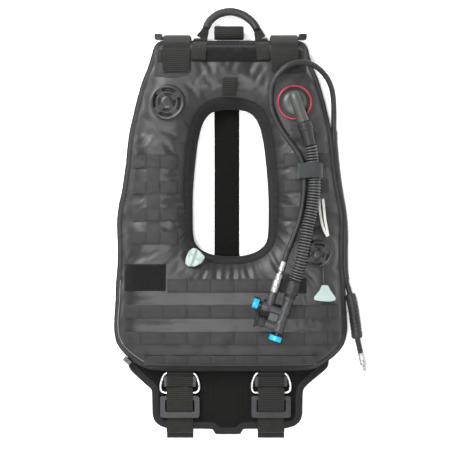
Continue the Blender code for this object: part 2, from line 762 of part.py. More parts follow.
def inf_turned(name, profile, mat, t, u, axis="t", v=0.0, segs=20, ring=False):
    """Turned about the t axis, or about the u axis pointing to -u."""
    turn = along if axis == "t" else Matrix.Rotation(math.pi / 2, 4, "X")
    turn = turn @ Matrix.Rotation(math.radians(4 if axis == "t" else 7), 4, "Z")
    return turned(name, profile, mat, matrix=inf_at(t, u, v) @ turn, segs=segs, ring=ring)


inf_turned("inflator_cuff", [(0, 30), (9.6, 30), (9.6, 27), (11.6, 26), (12.4, 22), (11.8, 20), (12.4, 18),
                             (12.2, 3), (11.4, 0.4), (0, 0.4)], "rubber", 0, 0)
body = inf_turned("inflator_body", [(0, 97), (8.6, 97), (9.2, 92), (9.2, 80), (8.2, 76), (8.2, 38), (9.4, 36),
                                    (9.4, 30.4), (0, 30.4)], "black_plastic", 0, 0)
cross = inf_turned("inflator_cross_arm", [(0, 40), (10.2, 40), (10.2, 30), (8.6, 26), (7.4, 22), (7.4, 0), (0, 0)],
                   "black_plastic", 60, -2, axis="u")
boolean(body, cross, "UNION")
leg = inf_turned("inflator_leg", [(0, 60), (7.6, 60), (7.6, 40), (6.6, 36), (6.6, 31.0), (0, 31.0)],
                 "black_plastic", 0, INF_COLUMN)
boolean(body, leg, "UNION")
web = block("inflator_web", (0, 0, 0), (1, 1, 1), "black_plastic")
web.matrix_world = inf_at(76, -13)
web.data.transform(Matrix.Diagonal((30, 22, 4, 1)))
boolean(body, web, "UNION")
mouth = inf_turned("mouth_tube", [(0, 26), (7.8, 26), (7.8, 0), (0, 0)], "black_plastic", 88, -1, axis="u")
boolean(body, mouth, "UNION")
bore = inf_turned("inflate_bore", [(0, 43), (4.6, 43), (4.6, 26), (0, 26)], "black_plastic", 60, -2, axis="u")
boolean(body, bore, "DIFFERENCE")
bore = inf_turned("deflate_bore", [(0, 99), (4.6, 99), (4.6, 80), (0, 80)], "black_plastic", 0, 0)
boolean(body, bore, "DIFFERENCE")
bore = inf_turned("mouth_bore", [(0, 28), (5.6, 28), (5.6, 9), (0, 9)], "black_plastic", 88, -1, axis="u")
boolean(body, bore, "DIFFERENCE")

# buttons: head outside, stem in its bore, with room for the travel
inf_turned("inflate_button", [(0, 57), (7.4, 57), (9.2, 55), (9.2, 46.4), (3.9, 46.4), (3.9, 32), (0, 32)],
           "blue_plastic", 60, -2, axis="u")
inf_turned("deflate_button", [(0, 113), (9.0, 113), (11.6, 110), (11.6, 103.4), (3.9, 103.4), (3.9, 87), (0, 87)],
           "blue_plastic", 0, 0)
# rubber mouthpiece: an oval flange with an open bore
inf_turned("mouthpiece", [(5.8, 44), (12.4, 44), (13.6, 42.6), (12.4, 41), (9.4, 39), (9.4, 27.2), (8.4, 26.4),
                          (5.8, 26.4)], "rubber", 88, -1, axis="u", ring=True)

# quick coupling: a steel core with a sliding sleeve
inf_turned("coupling_core", [(0, 30.7), (4.6, 30.7), (4.6, -10), (6.4, -11), (6.4, -16), (5.4, -17), (5.4, -28),
                             (0, -28)], "steel", 0, INF_COLUMN, segs=16)
inf_turned("coupling_sleeve", [(5.0, 30.2), (7.2, 30.2), (7.2, 22), (6.8, 21), (7.8, 19), (7.8, 9), (6.8, 7),
                               (7.2, 5), (7.2, -4), (5.0, -4)], "steel", 0, INF_COLUMN, segs=20, ring=True)

start = inf @ (Vector((-28.8, INF_COLUMN, 0)) * MM) / MM
LOW = [tuple(start), tuple(start + Vector((4.6, 13.4, -0.6))), (107.5, -40, 67.4), (116, -18, 65.4), (124, 4, 64.6),
       (129.2, 26, 64.4), (133.4, 55, 64.4), (134.4, 85, 64.4), (131.6, 112, 64.4), (121.4, 134, 64.2),
       (107, 154, 63.4), (92.6, 174, 62.4), (80, 198, 61.6), (74.4, 216, 61.4), (73.0, 234, 61.8), (74.0, 250, 62.6),
       (81, 268, 65.6), (98, 286.5, 69.4), (114, 294.5, 69.8), (130, 296.8, 66.8), (148, 294.5, 58.6),
       (165, 285.5, 48), (179, 271.5, 37), (188, 253.5, 27.6), (192.2, 232, 20), (193.6, 205, 12.6),
       (193.8, 180, 8.4), (195.2, 150, 7.2), (198, 118, 7.2), (202, 84, 7.2), (207, 52, 7.2), (212, 22, 7.2),
       (214.6, -12, 7.2), (214.4, -50, 7.2), (215, -84, 7.2), (217.6, -106, 8.4), (222.5, -124, 10.2),
       (229, -150, 11), (233.5, -180, 11), (238, -212, 10.6), (244.2, -240, 8.4)]
low_curve = catmull(LOW, False)
tube("lp_hose", resample(low_curve, 52, False), 5.0, "rubber", res=2)
length = sum((b - a).length for a, b in zip(low_curve, low_curve[1:]))
print("lp hose length", round(length, 1), "corrugated", round(sum(
    (b - a).length for a, b in zip(hose_line, hose_line[1:])), 1))


def stretch(y_high, y_low, n):
    """Points of the low-pressure hose between two heights on its outer run."""
    run = [p for p in low_curve if p.x > 185 and y_low <= p.y <= y_high]
    return resample(run, n, False)


pipe("hose_sleeve", stretch(178, -104, 12), 6.9, 5.9, "coated_fabric", sides=10)
pipe("hose_grip", stretch(-128, -212, 5), 10.4, 5.9, "rubber", sides=12)
tip = Vector((244.2, -240.3, 8.4))
tip_dir = (Vector((252.0, -272, 8.4)) - tip).normalized()
turned("hose_end_connector", [(0, 35), (2.6, 35), (3.4, 33), (3.4, 24), (6.4, 23), (6.4, 10), (5.6, 9), (5.6, 0.4),
                              (0, 0.4)], "steel", matrix=frame_at(tip, tip_dir), segs=14)

# ======================================================= bottom strap sets
for side, x in STRAP_X.items():
    wrap = [(-232, 8.4), (-262, 8.4), (-277, 8.4)] + arc(PIVOT_Y, PIVOT_Z, 4.6, 270, 90, 6)[1:] + [
        (-274.6, 17.0), (-272.8, 14.6), (-272.4, 11.4)]
    ribbon(f"{side}_anchor_loop", wrap, 50, 2.0, "webbing", at=x)
    axis = empty(f"{side}_strap_axis", (x, PIVOT_Y, PIVOT_Z))
    ring = [(-27, 0), (27, 0), (33.5, -2.5), (36, -9), (36, -20), (34.6, -33), (31, -37), (-31, -37),
            (-34.6, -33), (-36, -20), (-36, -9), (-33.5, -2.5)]
    pts = []
    for px, py in ring:
        pts.append((x + px, PIVOT_Y + py, PIVOT_Z))
    sections = []
    n = len(pts)
    for i in range(n):
        p = Vector(pts[i])
        t = (Vector(pts[(i + 1) % n]) - Vector(pts[i - 1])).normalized()
        a = t.cross(Vector((0, 0, 1)))
        sections.append([tuple(p + (a * math.cos(k) + Vector((0, 0, 1)) * math.sin(k)) * 2.3)
                         for k in (2 * math.pi * s / 8 for s in range(8))])
    ride(loft(f"{side}_bail", sections, "steel", closed_path=True, origin=(x, PIVOT_Y, PIVOT_Z), angle=60), axis)
    frame = plate(f"{side}_strap_frame", [(x - 37, -322), (x - 34, -318), (x + 34, -318), (x + 37, -322),
                                          (x + 37, -358), (x + 33, -363), (x - 33, -363), (x - 37, -358)],
                  10.9, 16.2, "dark_metal",
                  holes=[[(x - 27, -327), (x - 27, -350), (x + 27, -350), (x + 27, -327)]],
                  origin=(x, PIVOT_Y))
    frame = meshed(frame)
    boolean(frame, block(f"{side}_hook", (x - 14, -324, 15.7), (x + 14, -296, 19.0), "dark_metal", bevel=1), "UNION")
    boolean(frame, block(f"{side}_crossbar", (x - 30.5, -303, 10.0), (x + 30.5, -283.4, 16.4), "dark_metal",
                         bevel=1.5), "UNION")
    ride(frame, axis)
    tail = [(-401, 1.2), (-392, 1.4), (-389.4, 5.0), (-386.6, 8.2), (-380, 8.9), (-340, 8.8), (-305, 8.7)]
    ride(ribbon(f"{side}_leg_strap", tail, WEB_W, 2.0, "webbing", at=x, origin=(x, PIVOT_Y, PIVOT_Z)), axis)
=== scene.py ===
"""Looks of the horse-collar buoyancy compensator vest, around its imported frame."""
import math

import bmesh
import bpy
import numpy as np
from mathutils import Matrix, Vector, noise
from mathutils.bvhtree import BVHTree


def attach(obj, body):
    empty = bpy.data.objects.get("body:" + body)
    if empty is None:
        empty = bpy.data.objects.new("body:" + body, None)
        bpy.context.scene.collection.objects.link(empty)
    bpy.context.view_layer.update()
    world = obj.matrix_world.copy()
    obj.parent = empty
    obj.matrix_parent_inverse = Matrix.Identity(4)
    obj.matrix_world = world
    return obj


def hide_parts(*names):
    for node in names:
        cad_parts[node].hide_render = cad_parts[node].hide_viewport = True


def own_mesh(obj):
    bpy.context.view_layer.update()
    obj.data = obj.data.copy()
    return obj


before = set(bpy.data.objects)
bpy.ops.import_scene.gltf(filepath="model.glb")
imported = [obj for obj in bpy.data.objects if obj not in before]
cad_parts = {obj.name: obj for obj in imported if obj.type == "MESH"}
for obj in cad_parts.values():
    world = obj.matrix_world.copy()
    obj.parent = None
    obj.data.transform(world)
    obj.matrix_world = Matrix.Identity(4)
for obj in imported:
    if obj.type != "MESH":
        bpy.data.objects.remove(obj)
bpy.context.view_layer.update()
MM = 0.001

# ------------------------------------------------------- outlines (millimetres)
FRONT_TOP, EDGE_Z, BACK_Z, LUMBAR_Z = 56.0, 17.0, 4.0, 11.2
FRONT_ROLL, BACK_ROLL = 50.0, 26.0
OUTER = [(0, 341), (45, 341), (90, 342), (122, 342), (138, 335), (145, 314),
         (152, 292), (161, 270), (168, 247), (174, 225), (179, 203), (185, 178),
         (189, 150), (192, 119), (196, 88), (200, 62), (206, 34), (209, 5),
         (208, -30), (208, -75), (211, -110), (212, -143), (214, -173),
         (214, -198), (208, -222), (190, -243), (160, -263), (130, -268),
         (85, -269), (40, -269), (0, -269)]
INNER = [(0, 219), (20, 218), (38, 212), (49, 201), (55, 190), (60, 175),
         (65, 150), (68, 125), (71, 95), (73.5, 60), (74, 24), (73, -18),
         (67, -38), (51, -52), (27, -60), (0, -62)]
CENTRE = Vector((0.0, 75.0))
INF_ORIGIN = Vector((116.0, -103.0, 73.4))
INF_ANGLE = math.atan2(-0.946, -0.323)
INF_COLUMN = -30.0
STRAP_X = {"right": -95.0, "left": 76.0}
PIVOT_Y, PIVOT_Z = -277.0, 13.0


def catmull(points, closed, per=6):
    n = len(points)
    out = []
    for i in range(n if closed else n - 1):
        if closed:
            p = [Vector(points[(i + k) % n]) for k in (-1, 0, 1, 2)]
        else:
            p = [Vector(points[min(max(i + k, 0), n - 1)]) for k in (-1, 0, 1, 2)]
        for j in range(per):
            t = j / per
            out.append(0.5 * ((2 * p[1]) + (p[2] - p[0]) * t
                              + (2 * p[0] - 5 * p[1] + 4 * p[2] - p[3]) * t * t
                              + (3 * p[1] - p[0] - 3 * p[2] + p[3]) * t ** 3))
    if not closed:
        out.append(Vector(points[-1]))
    return out


def resample(points, n, closed):
    pts = [Vector(p) for p in points] + ([Vector(points[0])] if closed else [])
    run = [0.0]
    for a, b in zip(pts, pts[1:]):
        run.append(run[-1] + (b - a).length)
    out, k = [], 0
    for i in range(n):
        want = run[-1] * i / (n if closed else n - 1)
        while k < len(run) - 2 and run[k + 1] < want:
            k += 1
        s = run[k + 1] - run[k]
        f = 0 if s == 0 else (want - run[k]) / s
        out.append(pts[k].lerp(pts[k + 1], min(max(f, 0), 1)))
    return out


def full(half):
    return half + [(-x, y) for x, y in reversed(half[1:-1])]


outer_line = resample(catmull(full(OUTER), True), 288, True)
inner_line = resample(catmull(full(INNER), True), 216, True)


def segments(line):
    a = np.array([tuple(p)[:2] for p in line])
    return a, np.roll(a, -1, axis=0)


SEG_OUT, SEG_IN = segments(outer_line), segments(inner_line)


def far(points, seg):
    """Distance of each (x, y) to a closed line."""
    a, b = seg
    ab = b - a
    points = np.atleast_2d(points)
    best = np.full(len(points), 1e18)
    for i in range(0, len(a)):
        ap = points - a[i]
        t = np.clip(ap @ ab[i] / (ab[i] @ ab[i]), 0, 1)
        d = ap - t[:, None] * ab[i]
        best = np.minimum(best, (d * d).sum(1))
    return np.sqrt(best)


def smooth(a, b, x):
    t = np.clip((np.asarray(x, float) - a) / (b - a), 0, 1)
    return t * t * (3 - 2 * t)


def roll(r):
    r = np.clip(r, 0, 1)
    return np.sqrt(1 - (1 - r) ** 2)


def lumbar(y):
    return smooth(-182, -206, y)


def edge_z(y):
    return EDGE_Z + 3.0 * lumbar(y)


def front_z(pts):
    pts = np.atleast_2d(pts)
    d = np.minimum(far(pts, SEG_OUT), far(pts, SEG_IN))
    e = edge_z(pts[:, 1])
    return e + (FRONT_TOP - e) * roll(d / FRONT_ROLL)


def back_z(pts):
    pts = np.atleast_2d(pts)
    d = np.minimum(far(pts, SEG_OUT), far(pts, SEG_IN))
    e = edge_z(pts[:, 1])
    low = BACK_Z + (LUMBAR_Z - BACK_Z) * lumbar(pts[:, 1])
    return e - (e - low) * roll(d / BACK_ROLL)


def meet(origin, towards, line):
    d = (towards - origin).normalized()
    n = len(line)
    for i in range(n):
        a, b = line[i] - origin, line[(i + 1) % n] - origin
        e = b - a
        det = d.x * -e.y + e.x * d.y
        if abs(det) < 1e-12:
            continue
        s = (a.x * -e.y + e.x * a.y) / det
        t = (d.x * a.y - d.y * a.x) / det
        if s > 0 and 0 <= t <= 1:
            return origin + d * s
    raise ValueError("no crossing")


# ------------------------------------------------------------------ materials
def nodes_of(name, rough=0.5, metal=0.0, spec=0.5, sheen=0.0, coat=0.0, coat_rough=0.2):
    m = bpy.data.materials.new(name)
    m.use_nodes = True
    t = m.node_tree
    p = t.nodes["Principled BSDF"]
    p.inputs["Roughness"].default_value = rough
    p.inputs["Metallic"].default_value = metal
    p.inputs["Specular IOR Level"].default_value = spec
    p.inputs["Sheen Weight"].default_value = sheen
    p.inputs["Sheen Roughness"].default_value = 0.4
    p.inputs["Coat Weight"].default_value = coat
    p.inputs["Coat Roughness"].default_value = coat_rough
    return m, t, p


def coords(t, uv):
    c = t.nodes.new("ShaderNodeTexCoord")
    return c.outputs["UV" if uv else "Object"]


def noise_of(t, vec, scale, detail=3.0, rough=0.55):
    n = t.nodes.new("ShaderNodeTexNoise")
    n.inputs["Scale"].default_value = scale
    n.inputs["Detail"].default_value = detail
    n.inputs["Roughness"].default_value = rough
    t.links.new(vec, n.inputs["Vector"])
    return n.outputs["Fac"]


def ramp(t, fac, low, high, a=0.3, b=0.7):
    r = t.nodes.new("ShaderNodeValToRGB")
    r.color_ramp.elements[0].position = a
    r.color_ramp.elements[1].position = b
    r.color_ramp.elements[0].color = (*low, 1)
    r.color_ramp.elements[1].color = (*high, 1)
    t.links.new(fac, r.inputs["Fac"])
    return r.outputs["Color"]


def span_of(t, fac, low, high):
    r = t.nodes.new("ShaderNodeMapRange")
    r.inputs["To Min"].default_value = low
    r.inputs["To Max"].default_value = high
    t.links.new(fac, r.inputs["Value"])
    return r.outputs["Result"]


def wave(t, vec, scale, direction, profile="SIN", distort=0.0):
    w = t.nodes.new("ShaderNodeTexWave")
    w.wave_type = "BANDS"
    w.bands_direction = direction
    w.wave_profile = profile
    w.inputs["Scale"].default_value = scale
    w.inputs["Distortion"].default_value = distort
    w.inputs["Detail"].default_value = 1.0
    t.links.new(vec, w.inputs["Vector"])
    return w.outputs["Fac"]


def maths(t, op, a, b):
    n = t.nodes.new("ShaderNodeMath")
    n.operation = op
    for i, v in enumerate((a, b)):
        if isinstance(v, (int, float)):
            n.inputs[i].default_value = v
        else:
            t.links.new(v, n.inputs[i])
    return n.outputs[0]


def bump(t, p, height, strength, dist):
    b = t.nodes.new("ShaderNodeBump")
    b.inputs["Strength"].default_value = strength
    b.inputs["Distance"].default_value = dist
    t.links.new(height, b.inputs["Height"])
    t.links.new(b.outputs["Normal"], p.inputs["Normal"])


# wave texture: one period spans 2*pi/20 units at scale 1
def per_mm(period_mm, unit=1.0):
    return 2 * math.pi / 20 / (period_mm * unit)


def fabric(name, low, high, rough, weave_mm, strength, sheen=0.05, spec=0.5, mottle=14.0, spread=0.1):
    """Woven cloth in UV millimetres: two crossing thread directions."""
    m, t, p = nodes_of(name, rough, 0.0, spec, sheen)
    uv, ob = coords(t, True), coords(t, False)
    weave = maths(t, "MULTIPLY", wave(t, uv, per_mm(weave_mm), "X"), wave(t, uv, per_mm(weave_mm), "Y"))
    soft = noise_of(t, ob, mottle, 5.0)
    t.links.new(ramp(t, soft, low, high), p.inputs["Base Color"])
    t.links.new(span_of(t, soft, rough - spread, rough + spread), p.inputs["Roughness"])
    bump(t, p, maths(t, "ADD", weave, maths(t, "MULTIPLY", soft, 0.8)), strength, 0.0003)
    return m


def webbing_mat(name, low, high, rough=0.72, rib=2.1, spec=0.4, sheen=0.15):
    """Ribbed webbing: ribs across its length, fine ends along it."""
    m, t, p = nodes_of(name, rough, 0.0, spec, sheen)
    uv, ob = coords(t, True), coords(t, False)
    ribs = wave(t, uv, per_mm(rib), "X", "SIN", 0.4)
    ends = wave(t, uv, per_mm(1.3), "Y")
    both = maths(t, "ADD", maths(t, "MULTIPLY", ribs, 0.75), maths(t, "MULTIPLY", ends, 0.3))
    mix = maths(t, "MULTIPLY", both, maths(t, "ADD", noise_of(t, ob, 60, 3), 0.45))
    t.links.new(ramp(t, mix, low, high, 0.15, 0.85), p.inputs["Base Color"])
    bump(t, p, both, 0.9, 0.0006)
    return m


def pile(name, low, high, scale=900.0):
    m, t, p = nodes_of(name, 0.95, 0.0, 0.2, 0.15)
    ob = coords(t, False)
    fine = noise_of(t, ob, scale, 3)
    t.links.new(ramp(t, fine, low, high), p.inputs["Base Color"])
    bump(t, p, fine, 1.0, 0.0008)
    return m


def moulded(name, low, high, rough, spec=0.5, grain=1400.0, strength=0.15, metal=0.0, coat=0.0):
    m, t, p = nodes_of(name, rough, metal, spec, 0.0, coat)
    ob = coords(t, False)
    big, fine = noise_of(t, ob, 35, 4), noise_of(t, ob, grain, 2)
    t.links.new(ramp(t, big, low, high), p.inputs["Base Color"])
    t.links.new(span_of(t, big, max(0.05, rough - 0.08), rough + 0.08), p.inputs["Roughness"])
    bump(t, p, fine, strength, 0.0002)
    return m


def ribbed(name, low, high, rough, period):
    """Corrugated rubber with painted shade in its grooves and painted highlight on its crests, at the ribs' own spacing
    along the hose.
    """
    m, t, p = nodes_of(name, rough, 0.0, 0.5)
    uv, ob = coords(t, True), coords(t, False)
    t.links.new(ramp(t, wave(t, uv, per_mm(period), "X"), low, high, 0.25, 0.85), p.inputs["Base Color"])
    bump(t, p, noise_of(t, ob, 800, 2), 0.2, 0.0002)
    return m


M = {
    # corrugated hose: painted shade in the grooves and painted highlight on the crests
    "hose": ribbed("corrugated_rubber_painted_light", (0.0015, 0.0015, 0.0015), (0.075, 0.076, 0.078), 0.45, 5.3),
    "handset": moulded("handset_moulding", (0.022, 0.023, 0.025), (0.040, 0.041, 0.044), 0.42),
    # spine strap: a darker copy of the strap webbing, painted shade for the strap lying under the vest
    "spine": webbing_mat("spine_webbing_painted_shade", (0.0006, 0.0006, 0.0005), (0.0050, 0.0048, 0.0042), 0.85, 3.6, 0.15, 0.02),
    "nickel": moulded("nickel_plate", (0.36, 0.36, 0.35), (0.50, 0.50, 0.49), 0.38, 0.5, 300, 0.06, 1.0),
    "line": moulded("grey_line", (0.035, 0.037, 0.036), (0.07, 0.073, 0.07), 0.6, 0.4, 900, 0.2),
    "shell": fabric("shell_fabric", (0.009, 0.009, 0.009), (0.017, 0.017, 0.0168), 0.40, 0.9, 0.22, 0.02, 0.5),
    "band": fabric("band_laminate", (0.014, 0.014, 0.0145), (0.026, 0.026, 0.0265), 0.6, 1.3, 0.6, 0.06, 0.35, 40),
    "binding": fabric("binding_tape", (0.004, 0.004, 0.005), (0.010, 0.010, 0.011), 0.8, 1.1, 0.6, 0.06, 0.35, 50),
    "webbing": webbing_mat("strap_webbing", (0.0018, 0.0017, 0.0014), (0.019, 0.0182, 0.0152), 0.76, 3.6, 0.3, 0.1),
    "retainer": webbing_mat("retainer_webbing", (0.008, 0.012, 0.013), (0.035, 0.045, 0.047), 0.7, 2.0),
    "pile": pile("hook_pile", (0.002, 0.002, 0.002), (0.011, 0.011, 0.011)),
    "black": moulded("black_moulding", (0.008, 0.008, 0.009), (0.016, 0.016, 0.018), 0.36),
    "grey": moulded("grey_moulding", (0.040, 0.043, 0.038), (0.060, 0.063, 0.056), 0.4),
    "rubber": moulded("black_rubber", (0.010, 0.010, 0.011), (0.022, 0.022, 0.023), 0.5, 0.4, 800, 0.3),
    "red": moulded("red_anodising", (0.36, 0.035, 0.055), (0.48, 0.06, 0.09), 0.36, 0.5, 900, 0.05, 0.6),
    "blue": moulded("blue_moulding", (0.0, 0.34, 0.60), (0.005, 0.44, 0.72), 0.34, 0.5, 900, 0.1, 0.0, 0.2),
    "pale": moulded("pale_moulding", (0.27, 0.345, 0.325), (0.37, 0.44, 0.42), 0.42, 0.5, 500, 0.15),
    "steel": moulded("stainless", (0.72, 0.72, 0.71), (0.86, 0.86, 0.85), 0.33, 0.5, 300, 0.06, 1.0),
    "dark": moulded("dark_coating", (0.016, 0.016, 0.018), (0.030, 0.030, 0.032), 0.42, 0.5, 1200, 0.2, 0.5),
    "tape": fabric("white_tape", (0.46, 0.46, 0.44), (0.60, 0.60, 0.58), 0.7, 0.8, 0.5, 0.1, 0.4, 80),
    "thread": fabric("thread", (0.002, 0.002, 0.002), (0.008, 0.008, 0.008), 0.7, 0.5, 0.5, 0.1, 0.4, 400),
    "piping": fabric("light_piping", (0.13, 0.135, 0.135), (0.22, 0.225, 0.225), 0.7, 0.8, 0.5, 0.1, 0.4, 80),
}


def mesh_cloth():
    """Spacer mesh: round holes in rows, with painted shade inside the holes and along the grooves between its ribs."""
    m, t, p = nodes_of("spacer_mesh", 0.85, 0.0, 0.2, 0.06)
    ob = coords(t, False)
    v = t.nodes.new("ShaderNodeTexVoronoi")
    v.feature = "F1"
    v.inputs["Scale"].default_value = 330.0
    v.inputs["Randomness"].default_value = 0.12
    t.links.new(ob, v.inputs["Vector"])
    ribs = maths(t, "ADD", maths(t, "MULTIPLY", wave(t, ob, per_mm(4.2, MM), "X"), 0.6), 0.55)
    both = maths(t, "MULTIPLY", v.outputs["Distance"], ribs)
    # painted shade: darker in the holes and between the ribs
    t.links.new(ramp(t, both, (0.0004, 0.0004, 0.0003), (0.0042, 0.0040, 0.0034), 0.18, 0.42), p.inputs["Base Color"])
    bump(t, p, both, 1.0, 0.0012)
    return m


M["mesh"] = mesh_cloth()


# ------------------------------------------------------------------- geometry
def make(name, verts, faces, mat, body="root", nodes=(), slot=None, uv=None, angle=45):
    """A mesh object from points in millimetres, riding on its body."""
    mesh = bpy.data.meshes.new(name)
    mesh.from_pydata([tuple(Vector(v) * MM) for v in verts], [], faces)
    if uv is not None:
        layer = mesh.uv_layers.new(name="UVMap")
        loops = np.empty(len(mesh.loops), dtype=np.int32)
        mesh.loops.foreach_get("vertex_index", loops)
        layer.data.foreach_set("uv", np.asarray(uv, dtype=np.float32)[loops].ravel())
    bm = bmesh.new()
    bm.from_mesh(mesh)
    bmesh.ops.recalc_face_normals(bm, faces=bm.faces)
    bm.to_mesh(mesh)
    bm.free()
    mesh.shade_smooth()
    mesh.set_sharp_from_angle(angle=math.radians(angle))
    mesh.materials.append(M[mat])
    obj = bpy.data.objects.new(name, mesh)
    bpy.context.scene.collection.objects.link(obj)
    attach(obj, body)
    if nodes:
        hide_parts(*nodes)
    return obj


def sweep(rings, closed, uvs=None):
    """Faces over rings of points joined in order, capped where open."""
    n, k = len(rings), len(rings[0])
    verts = [p for r in rings for p in r]
    faces = []
    for i in range(n if closed else n - 1):
        j = (i + 1) % n
        for a in range(k):
            b = (a + 1) % k
            faces.append((i * k + a, i * k + b, j * k + b, j * k + a))
    if not closed:
        faces.append(tuple(reversed(range(k))))
        faces.append(tuple(range((n - 1) * k, n * k)))
    return verts, faces


def strap(name, path, across, width, thick, mat, closed=False, cols=10, wobble=0.0, **kw):
    """Webbing: a centre line in millimetres, its width along across, its selvedges thinned."""
    pts = [Vector(p) for p in path]
    n = len(pts)
    run = [0.0]
    for a, b in zip(pts, pts[1:]):
        run.append(run[-1] + (b - a).length)
    rings, uv = [], []
    for i, p in enumerate(pts):
        a = pts[i - 1] if (closed or i > 0) else pts[i]
        b = pts[(i + 1) % n] if (closed or i < n - 1) else pts[i]
        t = (b - a).normalized()
        w = Vector(across[i]) if isinstance(across, list) else Vector(across)
        w = (w - t * w.dot(t)).normalized()
        nrm = w.cross(t)
        wide = width[i] if isinstance(width, list) else width
        ring, ruv = [], []
        for side in (1, -1):
            for c in range(cols + 1):
                f = (c / cols * 2 - 1) * side
                h = thick / 2 * (1 - 0.55 * abs(f) ** 12)
                if wobble:
                    h += wobble * noise.noise(Vector((run[i] * 0.03, f * 0.8, 3.1)))
                    if side < 0:
                        h -= 2 * wobble * noise.noise(Vector((run[i] * 0.03, f * 0.8, 3.1)))
                ring.append(p + w * (f * wide / 2) + nrm * h * side)
                ruv.append((run[i], f * wide / 2))
        rings.append(ring)
        uv += ruv
    verts, faces = sweep(rings, closed)
    return make(name, verts, faces, mat, uv=uv, angle=50, **kw)


def pipe_mesh(name, pts, radius, mat, sides=20, **kw):
    """A round tube along points. radius is a number or a function of the run in millimetres."""
    pts = [Vector(p) for p in pts]
    n = len(pts)
    run, rings, uv = 0.0, [], []
    ref = Vector((0, 0, 1))
    for i, p in enumerate(pts):
        if i:
            run += (p - pts[i - 1]).length
        t = (pts[min(i + 1, n - 1)] - pts[max(i - 1, 0)]).normalized()
        a = t.cross(ref)
        a = a.normalized() if a.length > 1e-4 else Vector((1, 0, 0))
        b = a.cross(t)
        r = radius(run) if callable(radius) else radius
        rings.append([p + (a * math.cos(k) + b * math.sin(k)) * r for k in
                      (2 * math.pi * s / sides for s in range(sides))])
        uv += [(run, r * 2 * math.pi * s / sides) for s in range(sides)]
    verts, faces = sweep(rings, False)
    return make(name, verts, faces, mat, uv=uv, angle=55, **kw)


def rounded(profile, r=0.35, steps=3):
    """A profile of (radius, height) points with its corners rounded."""
    out = []
    n = len(profile)
    for i, p in enumerate(profile):
        p = Vector(p)
        if i in (0, n - 1) or p.x < 0.01:
            out.append(p)
            continue
        a, b = Vector(profile[i - 1]) - p, Vector(profile[i + 1]) - p
        k = min(r, a.length * 0.45, b.length * 0.45)
        s, e = p + a.normalized() * k, p + b.normalized() * k
        for j in range(steps + 1):
            t = j / steps
            out.append(s * (1 - t) ** 2 + p * 2 * t * (1 - t) + e * t * t)
    return out


def lathe(profile, matrix, segs=64, r=0.35, ring=False, lobes=None):
    """Vertices and faces of a turned piece in millimetres, placed by matrix."""
    if ring:
        m = len(profile)
        prof = rounded([profile[-1]] + list(profile) + [profile[0]], r)[1:-1]
        prof = prof if m else prof
    else:
        prof = rounded(profile, r)
    rings = []
    for s in range(segs):
        a = 2 * math.pi * s / segs
        k = lobes(a) if lobes else 0.0
        rings.append([matrix @ Vector(((p.x + (k if p.x > 3 else 0)) * math.cos(a),
                                       (p.x + (k if p.x > 3 else 0)) * math.sin(a), p.y)) for p in prof])
    k = len(prof)
    verts = [p for r_ in rings for p in r_]
    faces = []
    for i in range(segs):
        j = (i + 1) % segs
        for a in range(k if ring else k - 1):
            b = (a + 1) % k
            faces.append((i * k + a, i * k + b, j * k + b, j * k + a))
    return verts, faces


def joined(name, shapes, mat, angle=40, bevel=0.0, **kw):
    """Several closed shapes in one object; doubled points on an axis are merged."""
    verts, faces = [], []
    for v, f in shapes:
        base = len(verts)
        verts += [Vector(p) for p in v]
        faces += [tuple(i + base for i in face) for face in f]
    bm = bmesh.new()
    vs = [bm.verts.new(p) for p in verts]
    for f in faces:
        try:
            bm.faces.new([vs[i] for i in f])
        except ValueError:
            pass
    bmesh.ops.remove_doubles(bm, verts=bm.verts, dist=1e-4)
    bmesh.ops.dissolve_degenerate(bm, dist=1e-5, edges=bm.edges)
    bm.verts.index_update()
    v = [tuple(p.co) for p in bm.verts]
    f = [tuple(q.index for q in face.verts) for face in bm.faces]
    bm.free()
    obj = make(name, v, f, mat, angle=angle, **kw)
    if bevel:
        b = obj.modifiers.new("edges", "BEVEL")
        b.width = bevel * MM
        b.segments = 3
        b.limit_method = "ANGLE"
        b.angle_limit = math.radians(35)
        b.harden_normals = True
    return obj


def prism(outline, z0, z1, hole=None):
    """A flat outline with one optional hole of the same number of points, between two heights."""
    n = len(outline)
    lines = [outline] + ([hole] if hole else [])
    verts = [Vector((p[0], p[1], z)) for line in lines for z in (z0, z1) for p in line]
    faces = []
    for i in range(n):
        j = (i + 1) % n
        faces.append((i, j, n + j, n + i))
        if hole:
            faces.append((2 * n + j, 2 * n + i, 3 * n + i, 3 * n + j))
            faces.append((i, 2 * n + i, 2 * n + j, j))
            faces.append((n + i, n + j, 3 * n + j, 3 * n + i))
    if not hole:
        faces += [tuple(reversed(range(n))), tuple(range(n, 2 * n))]
    return verts, faces


def rounded_outline(points, r, steps=5):
    out = []
    n = len(points)
    for i in range(n):
        p = Vector(points[i])
        a, b = Vector(points[i - 1]) - p, Vector(points[(i + 1) % n]) - p
        k = min(r, a.length * 0.45, b.length * 0.45)
        s, e = p + a.normalized() * k, p + b.normalized() * k
        for j in range(steps + 1):
            t = j / steps
            out.append(s * (1 - t) ** 2 + p * 2 * t * (1 - t) + e * t * t)
    return out


def frame_at(origin, direction):
    z = Vector(direction).normalized()
    x = Vector((0, 0, 1)).cross(z)
    x = x.normalized() if x.length > 1e-6 else Vector((1, 0, 0))
    m = Matrix((x, z.cross(x), z)).transposed().to_4x4()
    m.translation = Vector(origin)
    return m


# ------------------------------------------------------------ camera and light
cam = bpy.data.objects.new("camera", bpy.data.cameras.new("camera"))
cam.data.lens = 84.8
cam.data.sensor_width = 36.0
cam.location = (-0.0104, 0.0, 2.0)
bpy.context.scene.collection.objects.link(cam)
bpy.context.scene.camera = cam


